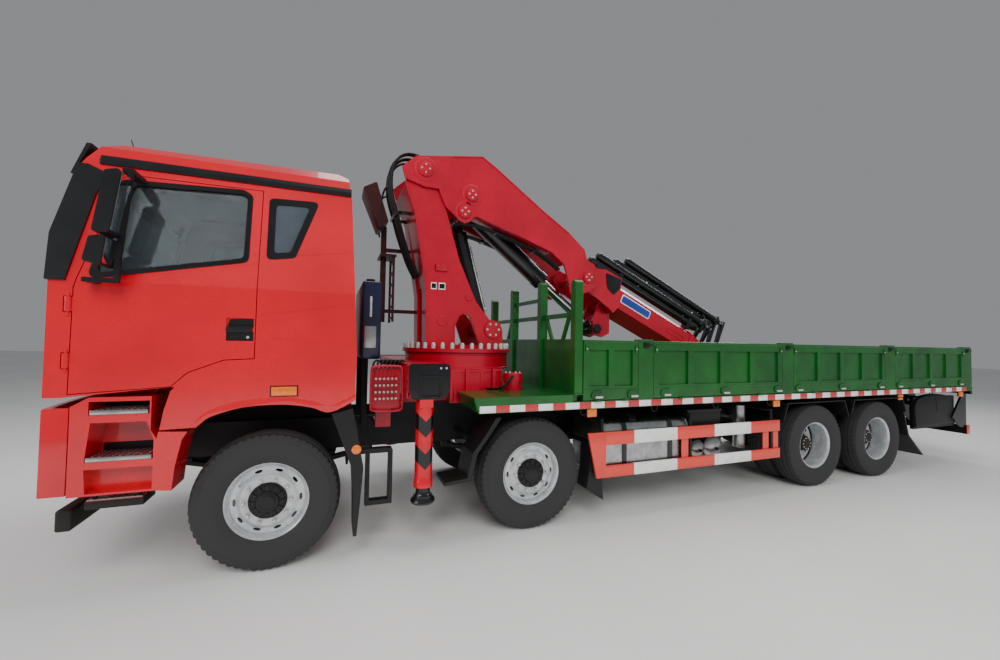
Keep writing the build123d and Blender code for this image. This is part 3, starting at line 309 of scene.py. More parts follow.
NODE_FINISHES = {
    "cab_enamel": ("cab_shell", "door_left", "door_right", "bumper", "steps"),
    "crane_enamel": ("crane_base", "crane_column", "inner_boom", "outer_boom", "valve_bank"),
    "deck_enamel": ("bed_deck",),
    "bed_enamel": ("bed_posts", "tailgate") + tuple(
        f"dropside_{n}_{side}" for n in range(1, 5) for side in SIDES),
    "chassis_enamel": ("chassis_frame",) + tuple(f"knuckle_{n}_{side}" for n in (1, 2) for side in SIDES),
    "cast_iron": ("axles", "engine"),
    "moulded_plastic": ("mudguards", "cab_trim", "mirrors_left", "mirrors_right"),
    "window_glass": ("cab_glass", "door_glass_left", "door_glass_right"),
    "cab_plastic": ("cab_interior",),
    "seat_vinyl": ("operator_seat",),
    "cylinder_enamel": ("lift_barrel", "fold_barrel", "jack_left", "jack_right"),
    "hard_chrome": ("lift_rod", "fold_rod"),
    "leg_enamel": ("outrigger_left", "outrigger_right"),
}


def finish(name):
    """Material of a finish that has been made."""
    return bpy.data.materials[name]


# Outlines
def cab_width(z):
    """Half width of the cab's outer skin at a height."""
    for (low, wide), (high, narrow) in zip(CAB_WIDTHS, CAB_WIDTHS[1:]):
        if z <= high:
            return wide + (narrow - wide) * (z - low) / (high - low)
    return CAB_WIDTHS[-1][1]


def beside_cab(side, out):
    """Rule of height for the width of a face that stands out from the cab's skin on one side."""
    return lambda z: side * (cab_width(z) + out)


def facing_out(place, side=1):
    """Matrix that stands a unit on a face looking to one side."""
    return Matrix.Translation(place) @ Matrix.Rotation(-side * math.pi / 2, 4, "X")


def boom_point(along, y, up):
    """Place beside the outer boom: distance along it, width, and height square to it."""
    return (BOOM_START[0] + along * math.cos(BOOM_SLOPE) + up * math.sin(BOOM_SLOPE), y,
            BOOM_START[1] - along * math.sin(BOOM_SLOPE) + up * math.cos(BOOM_SLOPE))


def rounded(points, radius, steps=5):
    """Closed outline with each corner turned into an arc."""
    made = []
    for n, corner in enumerate(points):
        corner = Vector(corner)
        before, after = Vector(points[n - 1]) - corner, Vector(points[(n + 1) % len(points)]) - corner
        half = before.angle(after) / 2
        reach = min(radius / math.tan(half), before.length * 0.45, after.length * 0.45)
        start, end = corner + before.normalized() * reach, corner + after.normalized() * reach
        for k in range(steps + 1):
            t = k / steps
            made.append(tuple(start * (1 - t) ** 2 + corner * 2 * t * (1 - t) + end * t ** 2))
    return made


def grown(points, amount):
    """Outline with every side moved outwards."""
    area = sum(a[0] * b[1] - b[0] * a[1] for a, b in zip(points, points[1:] + points[:1]))
    turn = 1 if area > 0 else -1
    made = []
    for n, corner in enumerate(points):
        corner = Vector(corner)
        into = (corner - Vector(points[n - 1])).normalized()
        out = (Vector(points[(n + 1) % len(points)]) - corner).normalized()
        push = Vector((into.y + out.y, -into.x - out.x)) * turn
        push = push.normalized() * amount / max(0.3, math.cos(into.angle(out) / 2))
        made.append(tuple(corner + push))
    return made


def through(points, steps=6):
    """Smooth curve through open points."""
    made = []
    ends = [points[0]] + points + [points[-1]]
    for a, b, c, d in zip(ends, ends[1:], ends[2:], ends[3:]):
        for k in range(steps):
            t = k / steps
            made.append(tuple(0.5 * (2 * q + (r - p) * t + (2 * p - 5 * q + 4 * r - u) * t ** 2
                                     + (3 * q - p - 3 * r + u) * t ** 3) for p, q, r, u in zip(a, b, c, d)))
    return made + [points[-1]]


def arc(centre, radius, start, end, count):
    """Points on an arc, angles in degrees."""
    turns = [math.radians(start + (end - start) * n / (count - 1)) for n in range(count)]
    return [(centre[0] + radius * math.cos(a), centre[1] + radius * math.sin(a)) for a in turns]


# Shapes
class Form:
    """A piece under construction: solids of several finishes in one mesh."""

    def __init__(self):
        self.mesh = bmesh.new()
        self.finishes = []

    def add(self, part, finish_name):
        """Adds a bmesh as it is, with a finish."""
        if finish_name not in self.finishes:
            self.finishes.append(finish_name)
        for face in part.faces:
            face.material_index = self.finishes.index(finish_name)
            face.smooth = True
        spare = bpy.data.meshes.new("spare")
        part.to_mesh(spare)
        part.free()
        self.mesh.from_mesh(spare)
        bpy.data.meshes.remove(spare)

    def take(self, part, finish_name, bevel=0.0, segments=2):
        """Adds a small bmesh with a finish, its doubles merged and its sharp edges bevelled."""
        bmesh.ops.remove_doubles(part, verts=part.verts, dist=1e-6)
        bmesh.ops.recalc_face_normals(part, faces=part.faces)
        if bevel:
            edges = [e for e in part.edges if len(e.link_faces) == 2 and e.calc_face_angle(0) > BEVEL_ANGLE]
            bmesh.ops.bevel(part, geom=edges, offset=bevel, segments=segments, profile=0.5, affect="EDGES",
                            clamp_overlap=True)
        self.add(part, finish_name)

    def loops(self, finish_name, loops, closed=False, bevel=0.0, segments=2):
        """Solid through equal loops of points, capped at its ends, or joined end to end."""
        part = bmesh.new()
        rings = [[part.verts.new(p) for p in loop] for loop in loops]
        pairs = list(zip(rings, rings[1:])) + ([(rings[-1], rings[0])] if closed else [])
        for a, b in pairs:
            for n in range(len(a)):
                m = (n + 1) % len(a)
                part.faces.new((a[n], a[m], b[m], b[n]))
        if not closed:
            part.faces.new(rings[0])
            part.faces.new(rings[-1])
        self.take(part, finish_name, bevel, segments)

    def block(self, finish_name, x, y, z, bevel=0.004, segments=2):
        """Box between two lengths, two widths and two heights."""
        y = sorted(y)
        ends = [[(a, y[0], z[0]), (a, y[1], z[0]), (a, y[1], z[1]), (a, y[0], z[1])] for a in x]
        self.loops(finish_name, ends, bevel=min(bevel, (x[1] - x[0]) / 3, (y[1] - y[0]) / 3, (z[1] - z[0]) / 3),
                   segments=segments)

    def plate(self, finish_name, points, y_from, y_to, bevel=0.003):
        """Plate cut to a side outline, between two widths; a width may be a rule of height."""
        width = [y if callable(y) else (lambda z, y=y: y) for y in (y_from, y_to)]
        self.loops(finish_name, [[(x, y(z), z) for x, z in points] for y in width], bevel=bevel)

    def cross(self, finish_name, points, x_from, x_to, bevel=0.003):
        """Plate cut to an outline seen from the rear, between two lengths."""
        self.loops(finish_name, [[(x, y, z) for y, z in points] for x in (x_from, x_to)], bevel=bevel)

    def flat(self, finish_name, points, z_from, z_to, bevel=0.003):
        """Plate cut to an outline seen from above, between two heights."""
        self.loops(finish_name, [[(x, y, z) for x, y in points] for z in (z_from, z_to)], bevel=bevel)

    def frame(self, finish_name, outer, inner, y_in, y_out, bevel=0.0):
        """Ring between two side outlines, its widths rules of height."""
        self.loops(finish_name, [[(x, y_in(z), z) for x, z in outer], [(x, y_out(z), z) for x, z in outer],
                                 [(x, y_out(z), z) for x, z in inner], [(x, y_in(z), z) for x, z in inner]],
                   closed=True, bevel=bevel)

    def turned(self, finish_name, origin, axis, profile, count=32):
        """Solid of revolution from (distance along the axis, radius) pairs."""
        turn = Vector(axis).to_track_quat("Z", "Y")
        part = bmesh.new()
        rings = []
        for along, radius in profile:
            ring = []
            for n in range(count):
                a = 2 * math.pi * n / count
                local = Vector((radius * math.cos(a), radius * math.sin(a), along))
                ring.append(part.verts.new(Vector(origin) + turn @ local))
            rings.append(ring)
        for a, b in zip(rings, rings[1:]):
            for n in range(count):
                part.faces.new((a[n], a[(n + 1) % count], b[(n + 1) % count], b[n]))
        if profile[0] != profile[-1]:
            for ring, (_, radius) in ((rings[0], profile[0]), (rings[-1], profile[-1])):
                if radius > 1e-5:
                    part.faces.new(ring)
        self.take(part, finish_name)

    def rod(self, finish_name, start, end, radius, count=20, edge=0.003):
        """Round bar between two places with eased ends."""
        along = Vector(end) - Vector(start)
        reach = along.length
        self.turned(finish_name, start, along,
                    [(0, radius - edge), (edge, radius), (reach - edge, radius), (reach, radius - edge)], count)

    def pipe(self, finish_name, points, radius, count=3):
        """Round tube along a smooth curve through its control points."""
        curve = bpy.data.curves.new("route", "CURVE")
        curve.dimensions = "3D"
        curve.bevel_depth = radius
        curve.bevel_resolution = count
        curve.use_fill_caps = True
        curve.resolution_u = 6
        spline = curve.splines.new("NURBS")
        spline.points.add(len(points) - 1)
        for spot, place in zip(spline.points, points):
            spot.co = (*place, 1.0)
        spline.order_u = 3
        spline.use_endpoint_u = True
        holder = bpy.data.objects.new("route", curve)
        made = bpy.data.meshes.new_from_object(holder)
        part = bmesh.new()
        part.from_mesh(made)
        bpy.data.objects.remove(holder)
        bpy.data.curves.remove(curve)
        bpy.data.meshes.remove(made)
        self.take(part, finish_name)

    def ring(self, finish_name, unit, count, radius, matrix):
        """Adds copies of a unit form round a ring."""
        self.copies(finish_name, unit, "ring_of_copies", {"Count": count, "Radius": radius}, matrix)

    def row(self, finish_name, unit, count, step, place):
        """Adds copies of a unit form on a row that starts at a place."""
        matrix = place if isinstance(place, Matrix) else Matrix.Translation(place)
        self.copies(finish_name, unit, "row_of_copies", {"Count": count, "Step": step}, matrix)

    def copies(self, finish_name, unit, tree_name, inputs, matrix):
        """Adds what a Geometry Nodes group makes of a unit form, moved by a matrix."""
        tree = bpy.data.node_groups[tree_name]
        thing = unit.plain("unit")
        holder = bpy.data.objects.new("holder", bpy.data.meshes.new("holder"))
        for made in (thing, holder):
            bpy.context.scene.collection.objects.link(made)
        modifier = holder.modifiers.new("copies", "NODES")
        modifier.node_group = tree
        sockets = {s.name: s.identifier for s in tree.interface.items_tree if s.in_out == "INPUT"}
        for name, value in {"Unit": thing, "Finish": finish(finish_name), **inputs}.items():
            modifier[sockets[name]] = value
        bpy.context.view_layer.update()
        graph = bpy.context.evaluated_depsgraph_get()
        result = bpy.data.meshes.new_from_object(holder.evaluated_get(graph), depsgraph=graph)
        result.transform(matrix)
        part = bmesh.new()
        part.from_mesh(result)
        for made in (thing, holder):
            bpy.data.objects.remove(made)
        bpy.data.meshes.remove(result)
        self.add(part, finish_name)

    def plain(self, name, matrix=Matrix.Identity(4)):
        """Object of the mesh so far, moved by a matrix into place."""
        mesh = bpy.data.meshes.new(name)
        self.mesh.to_mesh(mesh)
        mesh.transform(matrix)
        for entry in self.finishes:
            mesh.materials.append(finish(entry))
        mesh.set_sharp_from_angle(angle=SHARP_ANGLE)
        return bpy.data.objects.new(name, mesh)

    def done(self, name, body, replaced=(), matrix=Matrix.Identity(4)):
        """Finished piece, riding on its body and the nodes that it stands for."""
        made = self.plain(name, Matrix.Translation((AXLE_1, 0, 0)) @ matrix)
        bpy.context.scene.collection.objects.link(made)
        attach(made, body)
        if replaced:
            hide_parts(*replaced)
        return made


def socket(tree, name, kind, default=None):
    """Named input of a Geometry Nodes group."""
    made = tree.interface.new_socket(name, in_out="INPUT", socket_type=kind)
    if default is not None:
        made.default_value = default


def copies_tree(name, shape):
    """Geometry Nodes group that sets copies of a unit on a row or round a ring, and gives them a finish."""
    tree = bpy.data.node_groups.new(name, "GeometryNodeTree")
    socket(tree, "Unit", "NodeSocketObject")
    socket(tree, "Count", "NodeSocketInt", 10)
    if shape == "ring":
        socket(tree, "Radius", "NodeSocketFloat", 0.1)
    else:
        socket(tree, "Step", "NodeSocketVector", (0.1, 0.0, 0.0))
    socket(tree, "Finish", "NodeSocketMaterial")
    tree.interface.new_socket("Geometry", in_out="OUTPUT", socket_type="NodeSocketGeometry")
    given = add_node(tree, "NodeGroupInput").outputs
    unit = add_node(tree, "GeometryNodeObjectInfo", {"Object": given["Unit"]}).outputs["Geometry"]
    if shape == "ring":
        places = add_node(tree, "GeometryNodeMeshCircle", {"Vertices": given["Count"], "Radius": given["Radius"]})
        index = add_node(tree, "GeometryNodeInputIndex").outputs["Index"]
        share = add_node(tree, "ShaderNodeMath", {0: index, 1: given["Count"]}, operation="DIVIDE")
        angle = add_node(tree, "ShaderNodeMath", {0: share.outputs["Value"], 1: 2 * math.pi}, operation="MULTIPLY")
        turn = add_node(tree, "ShaderNodeCombineXYZ", {"Z": angle.outputs["Value"]}).outputs["Vector"]
        put = add_node(tree, "GeometryNodeInstanceOnPoints",
                       {"Points": places.outputs["Mesh"], "Instance": unit, "Rotation": turn})
    else:
        places = add_node(tree, "GeometryNodeMeshLine", {"Count": given["Count"], "Offset": given["Step"]},
                          mode="OFFSET")
        put = add_node(tree, "GeometryNodeInstanceOnPoints", {"Points": places.outputs["Mesh"], "Instance": unit})
    real = add_node(tree, "GeometryNodeRealizeInstances", {"Geometry": put.outputs["Instances"]})
    dressed = add_node(tree, "GeometryNodeSetMaterial",
                       {"Geometry": real.outputs["Geometry"], "Material": given["Finish"]})
    add_node(tree, "NodeGroupOutput", {"Geometry": dressed.outputs["Geometry"]})
    return tree


def hexagon_bolt(finish_name, radius, height):
    """Bolt head with its washer, standing on the local XY plane."""
    unit = Form()
    unit.turned(finish_name, (0, 0, 0), (0, 0, 1),
                [(-0.001, radius * 1.25), (height * 0.2, radius * 1.25), (height * 0.22, radius)], 16)
    corners = arc((0, 0), radius, 0, 300, 6)
    unit.loops(finish_name, [[(x, y, z) for x, y in corners] for z in (0.0, height)], bevel=height * 0.12)
    return unit


def wheel_nut():
    """Wheel nut with its flange and a domed end, standing on the local XY plane."""
    unit = hexagon_bolt("zinc_plate", 0.0175, 0.026)
    unit.turned("zinc_plate", (0, 0, 0), (0, 0, 1),
                [(0.020, 0.0), (0.020, 0.0145), (0.036, 0.0145), (0.042, 0.010), (0.044, 0.0)], 16)
    return unit


# Sizes and colours that a user may change
class LorryCraneSizes(bpy.types.PropertyGroup):
    """Sizes of the fine pieces."""
    tread_depth: bpy.props.FloatProperty(
        name="Tread depth", description="Depth of the tyre's grooves", default=0.013, min=0.002, unit="LENGTH")
    tread_lugs: bpy.props.IntProperty(
        name="Tread lugs", description="Shoulder lugs round a tyre", default=56, min=12)
    wheel_nuts: bpy.props.IntProperty(name="Wheel nuts", description="Nuts on a wheel", default=10, min=4)
    hand_holes: bpy.props.IntProperty(name="Hand holes", description="Oval holes in a wheel", default=10, min=4)
    slew_studs: bpy.props.IntProperty(
        name="Slewing studs", description="Studs round the turntable", default=36, min=8)
    tape_pitch: bpy.props.FloatProperty(
        name="Tape pitch", description="One red and one white block of tape", default=0.300, min=0.05, unit="LENGTH")
    hose_radius: bpy.props.FloatProperty(
        name="Hose radius", description="Radius of a hydraulic hose", default=0.013, min=0.004, unit="LENGTH")
    floor_size: bpy.props.FloatProperty(
        name="Floor size", description="Width of the studio floor", default=120.0, min=20.0, unit="LENGTH")


class LorryCraneColours(bpy.types.PropertyGroup):
    """Main colours."""
    cab: bpy.props.FloatVectorProperty(name="Cab", description="Cab enamel", subtype="COLOR", size=4, min=0, max=1,
                                       default=linear(FINISHES["cab_enamel"]["colour"]))
    crane: bpy.props.FloatVectorProperty(name="Crane", description="Crane enamel", subtype="COLOR", size=4, min=0,
                                         max=1, default=linear(FINISHES["crane_enamel"]["colour"]))
    bed: bpy.props.FloatVectorProperty(name="Bed", description="Bed enamel", subtype="COLOR", size=4, min=0, max=1,
                                       default=linear(FINISHES["bed_enamel"]["colour"]))


class MakeFinishes(bpy.types.Operator):
    """Makes the materials, gives each node listed in NODE_FINISHES its own, and makes the groups that set copies"""
    bl_idname = "lorry_crane.finishes"
    bl_label = "Finishes"

    def execute(self, context):
        colours = context.scene.lorry_crane_colours
        chosen = {"cab_enamel": colours.cab, "crane_enamel": colours.crane, "bed_enamel": colours.bed}
        for name, facts in FINISHES.items():
            facts = dict(facts)
            facts["colour"] = list(chosen[name]) if name in chosen else linear(facts["colour"])
            facts["shade"] = linear(facts["shade"])
            surface(name, **facts)
        for name, nodes in NODE_FINISHES.items():
            for node in nodes:
                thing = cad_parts[node]
                if not thing.material_slots:
                    thing.data.materials.append(finish(name))
                for entry in thing.material_slots:
                    entry.link = "OBJECT"
                    entry.material = finish(name)
        for name, shape in (("ring_of_copies", "ring"), ("row_of_copies", "row")):
            copies_tree(name, shape)
        return {"FINISHED"}


class MakeWheels(bpy.types.Operator):
    """Makes tyres with tread, pressed rims with hand holes, nuts and hubs"""
    bl_idname = "lorry_crane.wheels"
    bl_label = "Wheels"

    def tyre(self, form, centre, sizes):
        """Tyre whose shoulder lugs stand between notches."""
        depth = sizes.tread_depth
        wall = [(-0.112, 0.2985), (-0.120, 0.307), (-0.129, 0.326), (-0.133, 0.340), (-0.1345, 0.345),
                (-0.1375, 0.349), (-0.1412, 0.372), (-0.1430, 0.398), (-0.1450, 0.420), (-0.1440, 0.440),
                (-0.1418, 0.462), (-0.1398, 0.468), (-0.1372, 0.471), (-0.1358, 0.489), (-0.1342, 0.494)]
        shoulder = [(-0.1300, 0.508), (-0.1240, 0.5205), (-0.1120, 0.5248), (-0.0800, 0.5322)]
        tread = [(-0.0775, 0.5322 - depth), (-0.0695, 0.5335 - depth), (-0.0665, 0.5346), (-0.0340, 0.5386),
                 (-0.0315, 0.5388 - depth), (-0.0235, 0.5392 - depth), (-0.0210, 0.5394), (-0.0050, 0.5398)]
        half = [(u, r, lug) for points, lug in ((wall, False), (shoulder, True), (tread, False)) for u, r in points]
        profile = half + [(-u, r, lug) for u, r, lug in reversed(half)]
        profile += [(0.104, 0.300, False), (-0.104, 0.300, False)]
        count = sizes.tread_lugs * 3
        part = bmesh.new()
        rings = []
        for n in range(count):
            angle = 2 * math.pi * n / count
            ring = []
            for u, r, lug in profile:
                notch = lug and n % 3 == 0
                r, u = (r - depth * 0.8, u * 0.985) if notch else (r, u)
                ring.append(part.verts.new((r * math.cos(angle), centre + u, r * math.sin(angle))))
            rings.append(ring)
        for n in range(count):
            a, b = rings[n], rings[(n + 1) % count]
            for k in range(len(profile)):
                m = (k + 1) % len(profile)
                part.faces.new((a[k], a[m], b[m], b[k]))
        form.take(part, "tyre_rubber")

    def holed_disc(self, form, face, outer, inner, hole_at, hole_size, thick, count):
        """Pressed disc with oval hand holes; face gives its place along the axle at a radius."""
        part = bmesh.new()
        steps = 6
        sector = 2 * math.pi / count
        for k in range(count):
            middle = k * sector
            edge = [(outer, -sector / 2 + sector * n / steps) for n in range(steps)]
            edge += [(outer + (inner - outer) * n / steps, sector / 2) for n in range(steps)]
            edge += [(inner, sector / 2 - sector * n / steps) for n in range(steps)]
            edge += [(inner + (outer - inner) * n / steps, -sector / 2) for n in range(steps)]
            rings = [[], [], []]
            for radius, angle in edge:
                flat = (radius * math.cos(angle) - hole_at, radius * math.sin(angle))
                turn = math.atan2(flat[1] / hole_size[1], flat[0] / hole_size[0])
                oval = (hole_at + hole_size[0] * math.cos(turn), hole_size[1] * math.sin(turn))
                oval_radius, oval_angle = math.hypot(*oval), math.atan2(oval[1], oval[0])
                for ring, (r, a, back) in zip(rings, ((radius, angle, 0), (oval_radius, oval_angle, 0),
                                                      (oval_radius, oval_angle, thick))):
                    a += middle
                    ring.append(part.verts.new((r * math.cos(a), face(r) - back, r * math.sin(a))))
            for a, b in zip(rings, rings[1:]):
                for n in range(len(edge)):
                    m = (n + 1) % len(edge)
                    part.faces.new((a[n], a[m], b[m], b[n]))
        bmesh.ops.remove_doubles(part, verts=part.verts, dist=1e-5)
        bmesh.ops.recalc_face_normals(part, faces=part.faces)
        if sum(f.normal.y * f.calc_area() for f in part.faces) < 0:
            bmesh.ops.reverse_faces(part, faces=part.faces)
        form.add(part, "wheel_silver")

    def nuts(self, form, sizes, place, radius, unit):
        """Ring of wheel nuts facing outwards at a place along the axle."""
        form.ring("zinc_plate", unit, sizes.wheel_nuts, radius, facing_out((0, place, 0)))

    def single(self, sizes):
        """Front wheel, with its disc near the outer edge."""
        form = Form()
        c = SINGLE
        self.tyre(form, c, sizes)
        across = (0, 1, 0)
        rim = [(c + u, r) for u, r in (
            (0.066, 0.277), (0.072, 0.270), (0.094, 0.276), (0.104, 0.286), (0.112, 0.290), (0.1165, 0.297),
            (0.113, 0.3035), (0.106, 0.301), (0.104, 0.2975), (-0.104, 0.2975), (-0.106, 0.301), (-0.113, 0.302),
            (-0.112, 0.286), (-0.030, 0.262), (0.050, 0.262), (0.066, 0.277))]
        form.turned("wheel_silver", (0, 0, 0), across, rim, WHEEL_FACETS)

        def face(r):
            """Disc's outer face along the axle at a radius."""
            if r < 0.200:
                return c + 0.086
            t = min(1.0, (r - 0.200) / 0.020)
            return c + 0.086 - 0.018 * t - 0.004 * max(0.0, (r - 0.220) / 0.055)
        self.holed_disc(form, face, 0.276, 0.196, 0.236, (0.012, 0.029), 0.014, sizes.hand_holes)
        form.turned("wheel_silver", (0, 0, 0), across,
                    [(c + u, r) for u, r in ((0.072, 0.120), (0.072, 0.192), (0.074, 0.196), (0.0858, 0.1965),
                                             (0.0862, 0.190), (0.0862, 0.128), (0.084, 0.120), (0.072, 0.120))],
                    WHEEL_FACETS)
        hub = [(c + u, r) for u, r in (
            (-0.060, 0.045), (-0.060, 0.124), (0.086, 0.124), (0.090, 0.140), (0.096, 0.139), (0.100, 0.126),
            (0.112, 0.118), (0.118, 0.088), (0.134, 0.078), (0.140, 0.056), (0.148, 0.050), (0.150, 0.0))]
        form.turned("moulded_plastic", (0, 0, 0), across, hub, 48)
        rib = Form()
        rib.block("moulded_plastic", (0.084, 0.128), (-0.010, 0.010), (-0.022, 0.004), bevel=0.003)
        form.ring("moulded_plastic", rib, 12, 0.0001, facing_out((0, c + 0.121, 0)))
        self.nuts(form, sizes, c + 0.086, NUT_CIRCLE, wheel_nut())
        return form

    def twin(self, sizes):
        """Rear pair of wheels on one hub, with deep dishes."""
        form = Form()
        across = (0, 1, 0)
        inner, outer = TWINS
        middle = (inner + outer) / 2
        for c, d in ((inner, -1), (outer, 1)):
            self.tyre(form, c, sizes)
            rim = [(c + d * u, r) for u, r in (
                (0.100, 0.276), (0.106, 0.284), (0.112, 0.290), (0.1165, 0.297), (0.113, 0.3035), (0.106, 0.301),
                (0.104, 0.2975), (-0.104, 0.2975), (-0.106, 0.301), (-0.113, 0.302), (-0.110, 0.286), (-0.060, 0.268),
                (0.060, 0.268), (0.100, 0.276))]
            form.turned("wheel_silver", (0, 0, 0), across, rim, WHEEL_FACETS)

        def face(r):
            """Outer dish's face along the axle at a radius."""
            t = min(1.0, max(0.0, (r - 0.205) / 0.068))
            return middle + 0.032 + 0.022 * t * t
        self.holed_disc(form, face, 0.270, 0.200, 0.236, (0.015, 0.026), 0.014, sizes.hand_holes)
        form.turned("wheel_silver", (0, 0, 0), across,
                    [(middle + u, r) for u, r in ((0.030, 0.120), (0.018, 0.120), (0.018, 0.200), (0.032, 0.2005),
                                                  (0.0325, 0.128), (0.030, 0.120))], WHEEL_FACETS)
        hub = [(0.640, 0.050), (0.640, 0.124), (middle + 0.034, 0.124), (middle + 0.040, 0.134),
               (middle + 0.052, 0.133), (middle + 0.060, 0.118), (1.010, 0.112), (1.040, 0.104), (1.086, 0.092),
               (1.096, 0.078), (1.100, 0.0)]
        form.turned("cast_iron", (0, 0, 0), across, hub, 48)
        form.ring("zinc_plate", hexagon_bolt("zinc_plate", 0.009, 0.010), 10, 0.072, facing_out((0, 1.088, 0)))
        self.nuts(form, sizes, middle + 0.032, NUT_CIRCLE, wheel_nut())
        return form

    def execute(self, context):
        sizes = context.scene.lorry_crane_sizes
        made = {1: self.single(sizes), 2: self.twin(sizes)}
        for row, x in enumerate(AXLES, start=1):
            for side, s in SIDES.items():
                turn = Matrix.Rotation(math.pi if s < 0 else 0.0, 4, "Z")
                name = f"wheel_{row}_{side}"
                made[1 if row < 3 else 2].done(f"tyre_and_rim_{row}_{side}", name, (name,),
                                               Matrix.Translation((x, 0, HUB_HEIGHT)) @ turn)
        return {"FINISHED"}


